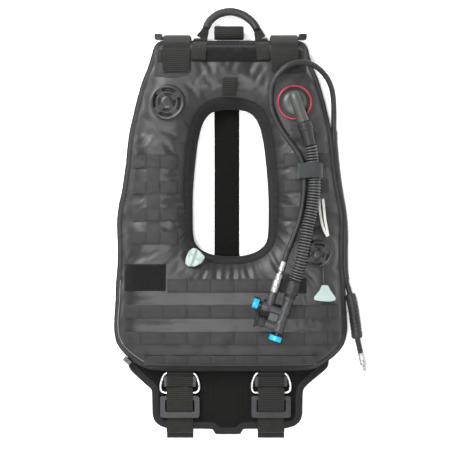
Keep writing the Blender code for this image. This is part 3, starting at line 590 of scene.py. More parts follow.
def area(name, place, target, size, power):
    lamp = bpy.data.objects.new(name, bpy.data.lights.new(name, "AREA"))
    lamp.data.shape = "RECTANGLE"
    lamp.data.size, lamp.data.size_y = size
    lamp.data.energy = power
    lamp.location = place
    lamp.rotation_mode = "QUATERNION"
    lamp.rotation_quaternion = (Vector(target) - Vector(place)).to_track_quat("-Z", "Y")
    bpy.context.scene.collection.objects.link(lamp)


area("key", (-1.0, 1.1, 1.5), (0, 0, 0), (0.9, 0.9), 54)
area("fill", (1.5, 0.2, 1.3), (0, 0, 0), (1.0, 1.4), 8)
area("low", (-0.2, -1.6, 1.2), (0, 0, 0), (1.6, 0.7), 11)
area("gloss", (-0.27, -0.34, 2.3), (-0.15, -0.16, 0), (0.34, 0.2), 27)
world = bpy.data.worlds.new("studio")
world.use_nodes = True
wt = world.node_tree
sky = wt.nodes.new("ShaderNodeTexCoord")
parts = wt.nodes.new("ShaderNodeSeparateXYZ")
wt.links.new(sky.outputs["Generated"], parts.inputs[0])
fall = wt.nodes.new("ShaderNodeMapRange")
fall.interpolation_type = "SMOOTHSTEP"
for key, value in (("From Min", 0.35), ("From Max", 0.95), ("To Min", 0.85), ("To Max", 0.10)):
    fall.inputs[key].default_value = value
wt.links.new(parts.outputs["Z"], fall.inputs["Value"])
wt.nodes["Background"].inputs["Color"].default_value = (1, 1, 1, 1)
wt.links.new(fall.outputs["Result"], wt.nodes["Background"].inputs["Strength"])
bpy.context.scene.world = world
bpy.context.scene.view_settings.view_transform = "Standard"

ground = bpy.data.meshes.new("floor")
ground.from_pydata([(-9, -9, -0.0006), (9, -9, -0.0006), (9, 9, -0.0006), (-9, 9, -0.0006)], [], [(0, 1, 2, 3)])
fm, ft, fp = nodes_of("floor_paper", 0.9, 0.0, 0.1)
fc = coords(ft, False)
ft.links.new(ramp(ft, noise_of(ft, fc, 6, 3), (0.93, 0.93, 0.93), (0.95, 0.95, 0.95)), fp.inputs["Base Color"])
ground.materials.append(fm)
fp.inputs["Emission Color"].default_value = (1, 1, 1, 1)
fp.inputs["Emission Strength"].default_value = 0.3
floor = bpy.data.objects.new("floor", ground)
bpy.context.scene.collection.objects.link(floor)

# ----------------------------------------------------------------------- cords
# low-pressure hose, from the quick coupling round the left shoulder to its connector
inf = Matrix.Translation(INF_ORIGIN) @ Matrix.Rotation(INF_ANGLE, 4, "Z")
start = inf @ Vector((-28.8, INF_COLUMN, 0))
LOW = [tuple(start), tuple(start + Vector((4.6, 13.4, -0.6))), (107.5, -40, 67.4), (116, -18, 65.4), (124, 4, 64.6),
       (129.2, 26, 64.4), (133.4, 55, 64.4), (134.4, 85, 64.4), (131.6, 112, 64.4), (121.4, 134, 64.2),
       (107, 154, 63.4), (92.6, 174, 62.4), (80, 198, 61.6), (74.4, 216, 61.4), (73.0, 234, 61.8), (74.0, 250, 62.6),
       (81, 268, 65.6), (98, 286.5, 69.4), (114, 294.5, 69.8), (130, 296.8, 66.8), (148, 294.5, 58.6),
       (165, 285.5, 48), (179, 271.5, 37), (188, 253.5, 27.6), (192.2, 232, 20), (193.6, 205, 12.6),
       (193.8, 180, 8.4), (195.2, 150, 7.2), (198, 118, 7.2), (202, 84, 7.2), (207, 52, 7.2), (212, 22, 7.2),
       (214.6, -12, 7.2), (214.4, -50, 7.2), (215, -84, 7.2), (217.6, -106, 8.4), (222.5, -124, 10.2),
       (229, -150, 11), (233.5, -180, 11), (238, -212, 10.6), (244.2, -240, 8.4)]
low_fine = catmull(LOW, False, 8)
low_line = resample(low_fine, 420, False)
low_hose = pipe_mesh("low_pressure_hose", low_line, 5.0, "rubber", 24, nodes=("lp_hose",), slot="rubber")

# corrugated hose: real ribs, 5.3 mm apart
CUFF_A, CUFF_B = Vector((132.9, 187.0, 74)), Vector((144.6, 144.5, 73.2))
cuff_dir = (CUFF_B - CUFF_A).normalized()
HOSE = [tuple(CUFF_B + cuff_dir * 0.9), (147.0, 134, 72.6), (149.5, 112, 71.8), (152.2, 88, 71.6), (152.6, 68, 71.6),
        (150.2, 45, 71.8), (146.6, 24, 72.6), (141.6, 2, 74.2), (136.6, -22, 76.2), (131.6, -46, 77.2),
        (126.6, -68, 76.6), (120.2, -90.6, 74), (INF_ORIGIN[0] + 0.26, INF_ORIGIN[1] + 0.75, INF_ORIGIN[2])]
hose_fine = catmull(HOSE, False, 12)
hose_line = resample(hose_fine, 520, False)
breathing_hose = pipe_mesh(
    "breathing_hose", hose_line,
    lambda s: 9.3 + 2.25 * (0.5 - 0.5 * math.cos(2 * math.pi * s / 5.3)) ** 0.7, "hose", 36,
    nodes=("corrugated_hose",), slot="rubber")

# ----------------------------------------------------------- inflated vest body
COLS = 360
FRONT_ROWS, BACK_ROWS = ((38, 18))
ring_out = resample(outer_line, COLS, True)
ring_in = [meet(CENTRE, p, inner_line) for p in ring_out]
R_OUT = np.array([tuple(p)[:2] for p in ring_out])
R_IN = np.array([tuple(p)[:2] for p in ring_in])


def rows_of(n):
    """Row positions across the ring, closer together at both edges."""
    f = np.linspace(0, 1, n + 1)
    return 0.5 - 0.5 * np.cos(math.pi * f) * (0.72 + 0.28 * np.abs(np.cos(math.pi * f)))


def fold(p, x0, y0, x1, y1, width, depth, bend=0.0):
    """A crease along a line, deepest in its middle."""
    a, b = np.array([x0, y0], float), np.array([x1, y1], float)
    ab = b - a
    t = ((p - a) @ ab) / (ab @ ab)
    tc = np.clip(t, 0, 1)
    side = np.array([-ab[1], ab[0]]) / np.linalg.norm(ab)
    d = (p - a - tc[:, None] * ab) @ side - bend * np.sin(math.pi * tc)
    along = np.linalg.norm((p - a - np.clip(t, 0, 1)[:, None] * ab), axis=1)
    fade = np.sin(math.pi * np.clip(t, 0.0, 1.0)) ** 0.6 * (along < width * 4)
    g = np.exp(-(d / width) ** 2) - 0.55 * np.exp(-((np.abs(d) - width * 1.9) / (width * 0.9)) ** 2)
    return -depth * g * fade


HARDWARE = [(-116, 224.5, 40), (117, 224.5, 40), (160, -53, 34), (-66, -60, 24), (172, -125, 22)]


def calm(p):
    """0 under hard pieces that sit on the front, 1 elsewhere."""
    m = np.ones(len(p))
    for x, y, r in HARDWARE:
        m *= smooth(r * 0.95, r * 1.35, np.hypot(p[:, 0] - x, p[:, 1] - y))
    return 0.12 + 0.88 * m


f_rows, b_rows = rows_of(FRONT_ROWS), rows_of(BACK_ROWS)
front_xy = np.array([R_IN + (R_OUT - R_IN) * v for v in f_rows])
back_xy = np.array([R_IN + (R_OUT - R_IN) * v for v in b_rows[1:-1]])
front_h = front_z(front_xy.reshape(-1, 2)).reshape(front_xy.shape[:2]) + 0.3
back_h = back_z(back_xy.reshape(-1, 2)).reshape(back_xy.shape[:2]) - 0.6
front_h[0] = edge_z(front_xy[0, :, 1])
front_h[-1] = edge_z(front_xy[-1, :, 1])
NF = front_xy.shape[0]
rest_f = np.dstack([front_xy, front_h])
rest_b = np.dstack([back_xy, back_h])
rest = np.concatenate([rest_f, rest_b]).reshape(-1, 3)
vest_faces = []
for r in range(NF - 1):
    for c in range(COLS):
        d = (c + 1) % COLS
        vest_faces.append((r * COLS + c, r * COLS + d, (r + 1) * COLS + d, (r + 1) * COLS + c))
order = [0] + [NF + k for k in range(rest_b.shape[0])] + [NF - 1]
for a, b in zip(order, order[1:]):
    for c in range(COLS):
        d = (c + 1) % COLS
        vest_faces.append((a * COLS + d, a * COLS + c, b * COLS + c, b * COLS + d))


def simulated():
    """The shell as cloth under pressure, cut a little larger than its form and held at its welds."""
    mesh = bpy.data.meshes.new("cloth_work")
    mesh.from_pydata([tuple(v * MM) for v in rest], [], vest_faces)
    bm = bmesh.new()
    bm.from_mesh(mesh)
    bmesh.ops.recalc_face_normals(bm, faces=bm.faces)
    bm.to_mesh(mesh)
    bm.free()
    obj = bpy.data.objects.new("cloth_work", mesh)
    bpy.context.scene.collection.objects.link(obj)
    pins = obj.vertex_groups.new(name="pin")
    pins.add([r * COLS + c for r in (0, NF - 1) for c in range(COLS)], 1.0, "REPLACE")
    cloth = obj.modifiers.new("cloth", "CLOTH")
    s = cloth.settings
    s.quality = 4
    s.mass = 0.25
    s.tension_stiffness = s.compression_stiffness = 12
    s.shear_stiffness = 4
    s.bending_stiffness = 0.15
    s.shrink_min = s.shrink_max = -0.045
    s.vertex_group_mass = "pin"
    s.use_pressure = True
    s.uniform_pressure_force = 4.0
    s.effector_weights.gravity = 0.0
    cloth.collision_settings.use_collision = False
    cloth.collision_settings.use_self_collision = False
    scene = bpy.context.scene
    cloth.point_cache.frame_start, cloth.point_cache.frame_end = 1, 24
    for k in range(1, 23):
        scene.frame_set(k)
    ev = obj.evaluated_get(bpy.context.evaluated_depsgraph_get())
    out = np.empty(len(rest) * 3)
    ev.data.vertices.foreach_get("co", out)
    normals = np.empty(len(rest) * 3)
    obj.data.vertices.foreach_get("normal", normals)
    scene.frame_set(1)
    bpy.data.objects.remove(obj)
    return out.reshape(-1, 3) / MM, normals.reshape(-1, 3)


swollen, rest_n = simulated()
lift = ((swollen - rest) * rest_n).sum(1)


def blurred(grid, times):
    g = grid.copy()
    for _ in range(times):
        g = 0.4 * g + 0.15 * (np.roll(g, 1, 1) + np.roll(g, -1, 1)
                              + np.vstack([g[:1], g[:-1]]) + np.vstack([g[1:], g[-1:]]))
    return g


def folds(grid):
    """The simulation's folds without its overall swelling."""
    return blurred(grid, 1) - blurred(grid, 60)


lift_f = folds(lift[:NF * COLS].reshape(NF, COLS))
lift_b = folds(lift[NF * COLS:].reshape(-1, COLS))
print("cloth folds, mm:", [round(float(v), 2) for v in np.percentile(lift_f, (1, 50, 99))], flush=True)


def soft_clip(v, low, high):
    return np.where(v > 0, high * np.tanh(v / high), low * np.tanh(v / low))


pf = front_xy.reshape(-1, 2)
# folds pressed into the front where the cell is quilted, bent or pulled by its bands
dents = np.zeros(len(pf))
for x0, y0, x1, y1, w, dpt, bend in (
        (-48, -64, -56, -104, 4.0, 2.6, 3), (-22, -64, -26, -108, 4.5, 3.0, -2), (4, -64, 2, -112, 4.0, 2.8, 3),
        (30, -63, 38, -100, 4.0, 2.4, -3), (-70, -44, -108, -84, 5.0, 2.8, 4), (70, -44, 98, -92, 5.0, 2.6, -4),
        (-150, 46, -176, 28, 4.0, 2.4, 2), (-92, 104, -124, 92, 4.5, 2.2, 3), (-84, 36, -126, 44, 4.5, 2.4, -3),
        (-86, -10, -130, 0, 5.0, 2.6, 4), (-176, 146, -150, 168, 4.5, 2.4, -3), (-64, 178, -88, 200, 4.0, 2.4, 3),
        (66, 178, 84, 202, 4.0, 2.4, -3), (92, 96, 112, 104, 4.0, 2.0, 2), (84, 0, 112, 10, 4.5, 2.4, 2),
        (-110, -132, -190, -140, 5.0, 2.6, 3), (-60, -136, 40, -134, 5.5, 2.2, 3), (90, -136, 180, -134, 5.0, 2.4, -3),
        (-180, -184, -60, -182, 5.5, 2.8, -2), (-30, -183, 80, -186, 5.5, 2.6, 2), (100, -182, 190, -184, 5.0, 2.6, 2),
        (-168, -40, -196, -66, 4.5, 2.6, 3), (192, -20, 170, -6, 4.5, 2.0, 3), (-30, 262, 34, 262, 6.0, 1.8, 3),
        (-70, 252, -50, 286, 4.5, 2.0, 2), (56, 250, 66, 280, 4.5, 2.0, -2), (-134, 300, -110, 262, 5.0, 1.8, 2)):
    dents += fold(pf, x0, y0, x1, y1, w, dpt, bend)
# the line where the lower hem is folded and stitched
dents -= 3.4 * np.exp(-((pf[:, 1] + 235) / 4.0) ** 2) * smooth(182, 168, np.abs(pf[:, 0]))
# short puckers round the neck seam and the outer weld
ang = np.arctan2(pf[:, 1] - 75, pf[:, 0])
edge_d = np.minimum(far(pf, SEG_OUT), far(pf, SEG_IN))
wob = np.array([noise.noise(Vector((math.cos(a) * 2.2, math.sin(a) * 2.2, 0.5))) for a in ang])
fine = np.array([noise.noise(Vector((x * 0.021, y * 0.021, 7.7))) for x, y in pf])
broad = np.array([2.6 * noise.noise(Vector((x * 0.011, y * 0.011, 3.3))) for x, y in pf])
puck = 0.34 * np.sin(ang * 60 + wob * 26) * np.exp(-((edge_d - 12) / 10) ** 2)
dents += (puck + 1.3 * fine) * smooth(2, 9, edge_d)
total_f = (lift_f.reshape(-1) * 0.85 + dents * 0.85 + broad - 1.6) * calm(pf) * smooth(0, 10, edge_d)
total_f = soft_clip(total_f, -7.5, 0.35).reshape(NF, COLS)
pb = back_xy.reshape(-1, 2)
back_d = np.minimum(far(pb, SEG_OUT), far(pb, SEG_IN))
total_b = soft_clip((lift_b.reshape(-1) - 1.0) * smooth(0, 10, back_d), -5.0, 0.25).reshape(-1, COLS)
shaped = rest + rest_n * np.concatenate([total_f, total_b]).reshape(-1, 1)
# cloth doesn't go below the straps it lies on, nor above its fixed fittings
shaped[:NF * COLS, 2] = np.minimum(shaped[:NF * COLS, 2], 56.6)
shaped[NF * COLS:, 2] = np.maximum(shaped[NF * COLS:, 2], 2.9)

vest_uv = np.column_stack([rest[:, 0], rest[:, 1]])
vest = make("vest_shell", shaped, vest_faces, "shell", nodes=("front_cover", "back_cover", "inner_bladder"),
            slot="coated_fabric", uv=vest_uv, angle=180)
sub = vest.modifiers.new("smooth", "SUBSURF")
sub.levels = sub.render_levels = 1

front_tree = BVHTree.FromPolygons([Vector(v) for v in shaped[:NF * COLS]],
                                  [f for f in vest_faces[:(NF - 1) * COLS]])


def surf(x, y):
    """Height of the shaped front under a point, in millimetres."""
    hit = front_tree.ray_cast(Vector((x, y, 200)), Vector((0, 0, -1)))[0]
    return hit.z if hit else float(front_z(np.array([[x, y]]))[0])


def surf_over(x, y, r=5.0):
    """The height a stiff band rests at: the highest of the surface close by."""
    return max(surf(x, y), *(surf(x + a, y + b) - 0.5 for a, b in ((r, 0), (-r, 0), (0, r), (0, -r))))


# binding round the outer weld: folded tape with a rippled lip
B_COLS = 640
line = resample(outer_line, B_COLS, True)
rings, uv, run = [], [], 0.0
for i, p in enumerate(line):
    d = (line[(i + 1) % B_COLS] - line[i - 1]).normalized()
    out = Vector((d.y, -d.x))
    if out.dot(p - CENTRE) < 0:
        out = -out
    e = float(edge_z(p.y)) + 0.9 * noise.noise(Vector((p.x * 0.04, p.y * 0.04, 1.0)))
    rip = 0.35 * noise.noise(Vector((p.x * 0.16, p.y * 0.16, 5.0)))
    run += (p - line[i - 1]).length if i else 0
    ring = []
    for k, (w, h) in enumerate(((-7.2, 3.6), (-4.6, 4.0), (-1.2, 3.3), (1.6, 2.5), (3.2, 1.5), (3.7, 0.0),
                                (3.2, -1.5), (1.6, -2.5), (-1.2, -2.9), (-4.6, -3.0), (-7.0, -2.6), (-5.0, 0.4))):
        q = p + out * (w + (rip if w > 0 else 0))
        z = e + h
        if k < 3:
            z = max(z, surf(q.x, q.y) + 0.6 - 0.25 * (k == 0))
        ring.append((q.x, q.y, z))
        uv.append((run, w + h))
    rings.append(ring)
v, f = sweep(rings, True)
make("edge_tape", v, f, "binding", nodes=("edge_binding",), slot="binding", uv=uv, angle=70)

# neck collar: a padded band with a stitched groove
C_COLS = 480
line = resample(inner_line, C_COLS, True)
rings, uv, run = [], [], 0.0
for i, p in enumerate(line):
    d = (line[(i + 1) % C_COLS] - line[i - 1]).normalized()
    out = Vector((d.y, -d.x))
    if out.dot(p - Vector((0, 75))) < 0:
        out = -out
    run += (p - line[i - 1]).length if i else 0
    z0 = float(edge_z(p.y))
    ring = []
    side = float(smooth(-20, 20, p.x))
    slim = 0.62 + 0.38 * (1 - side) * float(smooth(0, 130, p.y)) + 0.30 * side * float(smooth(-50, 80, p.y))
    puff = 0.35 * noise.noise(Vector((p.x * 0.09, p.y * 0.09, 2.0)))
    for w, up in ((-1.0, None), (-3.1, None), (-3.4, 0.0), (-2.0, 2.2), (1.0, 3.3), (5.0, 3.7), (9.0, 3.4),
                  (12.0, 2.3), (13.0, 1.6), (14.0, 2.2), (16.0, 1.7), (17.0, 0.7), (17.0, -0.8)):
        q = p + out * (w * slim if w > 0 else w)
        if up is None:
            z = z0 - 3.8
        elif w < 0:
            q2 = p + out * 0.5
            z = surf(q2.x, q2.y) + up - 0.6
        else:
            z = surf(q.x, q.y) + up * (0.55 + 0.45 * slim if up > 0 else 1) + puff * (up > 1)
        ring.append((q.x, q.y, z))
        uv.append((run, w))
    rings.append(ring)
v, f = sweep(rings, True)
collar = make("neck_band", v, f, "binding", nodes=("neck_collar",), slot="binding", uv=uv, angle=70)


# ------------------------------------------------------------- bands and patches
def combine(shapes):
    verts, faces, uvs = [], [], []
    for v, f, u in shapes:
        base = len(verts)
        verts += [tuple(p) for p in v]
        faces += [tuple(i + base for i in face) for face in f]
        uvs += list(u)
    return verts, faces, uvs


def drape(nu, nv, at, gap=0.3, thick=1.2, bow=None):
    """A closed strip laid over the front. at gives (x, y) for fractions along and across."""
    top, bottom, uv = [], [], []
    for i in range(nu + 1):
        for j in range(nv + 1):
            a, b = i / nu, j / nv
            x, y = at(a, b)
            z = surf_over(x, y) + gap
            rise = bow(a, b) if bow else 0.0
            rim = 0.45 if (i in (0, nu) or j in (0, nv)) else 1.0
            top.append((x, y, z + rise + thick * rim))
            bottom.append((x, y, z + rise * 0.8 - 0.5))
            uv.append((x, y))
    n = len(top)
    w = nv + 1
    faces = []
    for i in range(nu):
        for j in range(nv):
            k = i * w + j
            faces.append((k, k + w, k + w + 1, k + 1))
            faces.append((n + k, n + k + 1, n + k + w + 1, n + k + w))
    for i in range(nu):
        for j in (0, nv):
            k = i * w + j
            faces.append((k, k + w, n + k + w, n + k))
    for j in range(nv):
        for i in (0, nu):
            k = i * w + j
            faces.append((k, k + 1, n + k + 1, n + k))
    return top + bottom, faces, uv + uv


threads = []


def thread(points, height, spacing=3.4, long=2.3, r=0.33):
    """A row of stitches along (x, y) points, lying at a height function's value."""
    pts = [Vector((p[0], p[1])) for p in points]
    total = sum((b - a).length for a, b in zip(pts, pts[1:]))
    n = max(2, int(total / spacing))
    for p, q in zip(resample(pts, n, False), resample(pts, n, False)[1:]):
        d = q - p
        if d.length < 1e-6:
            continue
        d.normalize()
        mid = (p + q) / 2
        side = Vector((-d.y, d.x))
        z = height(mid.x, mid.y)
        ring = []
        for e, s in ((-0.5, 0.35), (-0.3, 1.0), (0.3, 1.0), (0.5, 0.35)):
            c = mid + d * (long * e)
            ring.append([(c.x + side.x * r * s * a, c.y + side.y * r * s * a, z + r * s * b + 0.12)
                         for a, b in ((1, 0), (0.5, 0.8), (-0.5, 0.8), (-1, 0), (-0.5, -0.5), (0.5, -0.5))])
        v, f = sweep([[Vector(x) for x in g] for g in ring], False)
        threads.append((v, f, [(0.0, 0.0)] * len(v)))


def band(x0, x1, y0, y1, tacks, rise=1.15):
    """A stitched band: flat at each tack and slightly bowed between tacks."""
    ks = sorted({x0, x1, *[t for t in tacks if x0 + 6 < t < x1 - 6]})

    def bow(a, b):
        x = x0 + (x1 - x0) * a
        for p, q in zip(ks, ks[1:]):
            if p <= x <= q:
                f = (x - p) / (q - p)
                near = min(x - p, q - x)
                return rise * (0.55 + 0.45 * math.sin(math.pi * f)) * (1 - math.exp(-(near / 1.7) ** 2)) * (0.7 + 0.3 * math.sin(math.pi * b))
        return 0.0

    def at(a, b):
        x = x0 + (x1 - x0) * a
        return x, y0 + (y1 - y0) * b + 0.5 * noise.noise(Vector((x * 0.03, y0 * 0.1, b * 0.4)))

    top = lambda x, y: surf_over(x, y) + 0.3 + 1.2 + 0.05
    for t in ks:
        tx = min(max(t, x0 + 1.6), x1 - 1.6)
        for dx in (-0.8, 0.8):
            thread([(tx + dx, y0 + 1.5), (tx + dx, y1 - 1.5)], top, 1.7, 1.4, 0.42)
    return drape(max(6, round((x1 - x0) / (1.3))), 8, at, bow=bow)


def edge_stitch(x0, x1, y0, y1, tacks):
    ks = sorted({x0, x1, *[t for t in tacks if x0 + 6 < t < x1 - 6]})

    def height(x, y):
        for p, q in zip(ks, ks[1:]):
            if p <= x <= q:
                return surf_over(x, y) + 1.45 + 1.15 * 0.7 * (0.55 + 0.45 * math.sin(math.pi * (x - p) / (q - p))) * (1 - math.exp(-(min(x - p, q - x) / 1.7) ** 2))
        return surf_over(x, y) + 1.5
    for y in (y0 + 2.2, y1 - 2.2):
        thread([(x0 + 1.5, y), (x1 - 1.5, y)], height, 3.6, 2.3, 0.28)


def bands(name, node, rows, tacks, columns=()):
    shapes = []
    for x0, x1, y0, y1 in rows:
        shapes.append(band(x0, x1, y0, y1, tacks))
        edge_stitch(x0, x1, y0, y1, tacks)
    for x0, x1, y0, y1 in columns:
        shapes.append(drape(8, round((y1 - y0) / 3), lambda a, b, x0=x0, x1=x1, y0=y0, y1=y1:
                            (x0 + (x1 - x0) * a, y0 + (y1 - y0) * b), gap=0.1, thick=0.7))
    v, f, u = combine(shapes)
    return make(name, v, f, "band", nodes=(node,), slot="laminate_band", uv=u, angle=50)


bands("chest_bands_right", "right_chest_bands",
      [(-182, -96, -36, -12), (-182, -96, 7, 32), (-182, -96, 57, 81), (-182, -96, 105, 129)],
      [-155, -129], [(-155, -129, -36, 129)])
bands("chest_bands_left", "left_chest_bands",
      [(96, 182, 9, 34), (96, 182, 59, 84), (96, 182, 107, 132)], [129, 155], [(129, 155, 9, 132)])
TACKS = [-166 + 43.1 * k for k in range(9)]
for key, x0, x1, y0, y1 in (("a", -116, 139, -124.5, -99), ("b", -198, 199, -172, -146.5),
                            ("c", -199, 199, -221, -196), ("d", -160, 160, -258, -241)):
    bands(f"hip_band_{key}", f"waist_band_{key}", [(x0, x1, y0, y1)], TACKS)


v, f, u = drape(10, 16, lambda a, b: (126 + 13 * a, -125.5 + 27.5 * b), gap=1.9, thick=1.2)
make("band_tab", v, f, "binding", uv=u, slot="binding", angle=50)


def framed(x0, x1, y0, y1, inset=2.4, rows=1):
    for k in range(rows):
        i = inset + k * 2.6
        thread([(x0 + i, y0 + i), (x1 - i, y0 + i), (x1 - i, y1 - i), (x0 + i, y1 - i), (x0 + i, y0 + i)],
               lambda x, y: surf_over(x, y) + 1.55, 3.4, 2.3, 0.3)


v, f, u = drape(34, 22, lambda a, b: (-197 + 78 * a, -121 + 49 * b), gap=0.3, thick=1.4,
                bow=lambda a, b: 0.25 * noise.noise(Vector((a * 9, b * 6, 0))))
make("loop_patch", v, f, "pile", nodes=("hook_loop_patch",), slot="hook_patch", uv=u, angle=60)
framed(-197, -119, -121, -72)


def trapeze(a, b):
    half = 72 + (55 - 72) * b
    return -half + 2 * half * a, 300 + 30 * b


v, f, u = drape(48, 14, trapeze, gap=0.3, thick=1.3)
make("anchor_patch", v, f, "pile", nodes=("handle_anchor",), slot="hook_patch", uv=u, angle=60)
for side, s in (("right", -1), ("left", 1)):
    v, f, u = drape(22, 20, lambda a, b, s=s: (s * (78 + 62 * a), 275 + 50 * b - 5 * math.sin(math.pi * a) * (1 - b)),
                    gap=0.3, thick=1.1)
    make(f"yoke_{side}", v, f, "band", nodes=(f"{side}_yoke_patch",), slot="coated_fabric", uv=u, angle=60)
    a0, a1 = sorted((s * 78, s * 140))
    framed(a0, a1, 275, 323, 2.2, 2)

# ---------------------------------------------------------------------- webbing
# the spine strap wears the darker webbing that carries painted shade
strap("spine_strap", [(-7, 332 - 544 * k / 120, 1.15 + 0.04 * math.sin(k * 0.7)) for k in range(121)], (1, 0, 0), 47, 2.1,
      "spine", nodes=("back_strap",), slot="webbing", cols=14)


def oval(cy, cz, a, b, n=48, tilt=0.0, x=0.0):
    out = []
    for k in range(n):
        t = 2 * math.pi * k / n
        y, z = a * math.cos(t), b * math.sin(t)
        out.append((x, cy + y * math.cos(tilt) - z * math.sin(tilt), cz + y * math.sin(tilt) + z * math.cos(tilt)))
    return out


strap("hanging_loop", oval(359, 16, 12, 9.5, x=-3), (1, 0, 0), 55, 2.2, "webbing", closed=True,
      nodes=("top_webbing_loop",), slot="webbing", cols=14)
strap("keeper_loop", oval(253, 60.6, 16, 4.2, tilt=math.radians(17), x=-2.5), (1, 0, 0), 26, 1.6, "webbing",
      closed=True, nodes=("neck_keeper_loop",), slot="webbing", cols=10)
for side, s in (("right", -1), ("left", 1)):
    x = 100.0 * s
    ys = (281, 290, 299, 307, 314, 321, 327)
    base = [max(front_z(np.array([[x + k, y] for k in (-25, 0, 25)]))) + 3.6 + 1.1 for y in ys]
    path = [(x, y, float(z)) for y, z in zip(ys, base)]
    path += [(x, y, z) for y, z in ((334, 48.0), (341, 41.5), (348, 33), (353, 23.5), (354, 14), (351.5, 6),
                                    (345.5, 1.9), (338, 1.15), (320, 1.15), (285, 1.15), (250, 1.15))]
    strap(f"shoulder_webbing_{side}", catmull(path, False, 5), (1, 0, 0), 50, 2.1, "webbing",
          nodes=(f"{side}_shoulder_strap",), slot="webbing", cols=14)
    top = lambda px, py: float(np.interp(py, ys, base)) + 1.05
    for off in (0, 3.2):
        thread([(x - 22 + off, 284 + off), (x + 22 - off, 284 + off), (x + 22 - off, 312 - off),
                (x - 22 + off, 312 - off), (x - 22 + off, 284 + off)], top, 2.6, 1.9, 0.34)
    thread([(x - 19, 287), (x + 19, 309)], top, 2.6, 1.9, 0.34)
    thread([(x - 19, 309), (x + 19, 287)], top, 2.6, 1.9, 0.34)
    # adjuster at the fold: a ladder-lock frame over its rod
    m = frame_at((73 * s, 348.6, 19), (s, 0, 0))
    rod = lathe([(0, 56), (3, 56), (3, 0), (0, 0)], m, 32, 0.6)
    a, b = sorted((127 * s, 142 * s))
    plate_a = prism(rounded_outline([(a, 346.2), (b, 346.2), (b, 356), (a, 356)], 2.6), 11, 29)
    c = (a + b) / 2
    plate_b = prism(rounded_outline([(c - 5, 345.4), (c + 5, 345.4), (c + 5, 356.4), (c - 5, 356.4)], 1.6), 14, 26)
    joined(f"shoulder_adjuster_{side}", [rod, plate_a, plate_b], "black", bevel=0.9,
           nodes=(f"{side}_shoulder_buckle",), slot="black_plastic")

strap("hose_band", catmull([(123.4, 99.5, 59.6), (123.8, 99.5, 66), (126.6, 99.5, 71.4), (131.2, 99.5, 76),
                            (136.2, 99.5, 81), (142.5, 99.5, 85.4), (150.5, 99.5, 86.6), (158.5, 99.5, 85.0),
                            (164, 99.5, 79.5), (166.4, 99.5, 72), (167.6, 99.5, 65), (168.2, 99.5, 59.6)], False, 5),
      (0, 1, 0), 27, 1.6, "retainer", nodes=("hose_retainer",), slot="webbing", cols=12)

# --------------------------------------------------------------------- lumbar pad
PAD = [(-186, -216), (176, -216), (186, -240), (184, -268), (150, -296), (136, -309), (135, -358),
       (131, -370), (120, -379), (104, -383), (22, -384), (20, -394), (-30, -394), (-32, -384),
       (-116, -383), (-132, -379), (-143, -370), (-147, -358), (-148, -309), (-160, -300),
       (-192, -270), (-194, -240)]
pad_line = resample(rounded_outline(PAD, 9, 6), 300, True)
pad_seg = segments(pad_line)
bm = bmesh.new()
edge = [bm.verts.new((p.x, p.y, 0)) for p in resample(rounded_outline(PAD, 9, 6), 220, True)]
bm.faces.new(edge)
ext = bmesh.ops.extrude_face_region(bm, geom=list(bm.faces))
bmesh.ops.translate(bm, verts=[g for g in ext["geom"] if isinstance(g, bmesh.types.BMVert)], vec=(0, 0, 5.6))
bmesh.ops.recalc_face_normals(bm, faces=bm.faces)
pm = bpy.data.meshes.new("pad_work")
for q in bm.verts:
    q.co = q.co * MM + Vector((0, 0, 0.0006))
bm.to_mesh(pm)
bm.free()
po = bpy.data.objects.new("pad_work", pm)
bpy.context.scene.collection.objects.link(po)
rm = po.modifiers.new("remesh", "REMESH")
rm.mode = "VOXEL"
rm.voxel_size = 0.0026
sm = po.modifiers.new("smooth", "SMOOTH")
sm.iterations = 3
sm.factor = 0.5
bpy.context.view_layer.update()
ev = po.evaluated_get(bpy.context.evaluated_depsgraph_get())
pad_pts = np.array([tuple(q.co) for q in ev.data.vertices]) / MM
pad_faces = [tuple(q.vertices) for q in ev.data.polygons]
bpy.data.objects.remove(po)
pd = far(pad_pts[:, :2], pad_seg)
crown = smooth(12, 34, pd) * 0.9 - 1.0 * np.exp(-((pd - 14) / 2.2) ** 2)
bumps = np.array([noise.noise(Vector((x * 0.03, y * 0.03, 9.0))) for x, y, _ in pad_pts])
up = pad_pts[:, 2] > 3.0
pad_pts[:, 2] += np.where(up, crown + 0.5 * bumps * smooth(10, 20, pd), 0)
# inside the vest's own height, the pad lies under its back face
pad_pts[:, 2] = np.clip(pad_pts[:, 2], 0.1, 7.0)
pad = make("back_pad", pad_pts, pad_faces, "mesh", nodes=("lumbar_pad",), slot="mesh_pad", uv=pad_pts[:, :2], angle=180)
rings, uv, run = [], [], 0.0
for i, p in enumerate(pad_line):
    d = (pad_line[(i + 1) % 300] - pad_line[i - 1]).normalized()
    out = Vector((d.y, -d.x))
    if sum((p + out - Vector((-5, -300))).length > (p - Vector((-5, -300))).length for _ in (0,)) == 0:
        out = -out
    run += (p - pad_line[i - 1]).length if i else 0
    ring = []
    for w, h in ((-13.0, 6.2), (-9, 7.0), (-4, 6.9), (-0.8, 6.0), (0.2, 3.6), (-0.8, 0.9), (-4, 0.15), (-12, 0.1),
                 (-12.5, 3.0)):
        q = p + out * w
        ring.append((q.x, q.y, h))
        uv.append((run, w))
    rings.append(ring)
v, f = sweep(rings, True)
make("pad_binding", v, f, "binding", uv=uv, angle=70, slot="binding")

# ------------------------------------------------------------------ carry handle
ARCH = [(-55, 348.5, 21.6), (-50, 357, 19), (-46, 368, 16.5), (-39, 382, 14), (-23, 395, 12.2), (0, 400, 12),
        (23, 394, 12.2), (41, 380, 14), (50, 365, 16.5), (53, 356, 19), (56, 348.5, 21.6)]
grip_line = resample(catmull(ARCH[2:9], False, 12), 120, False)
grip_len = sum((b - a).length for a, b in zip(grip_line, grip_line[1:]))


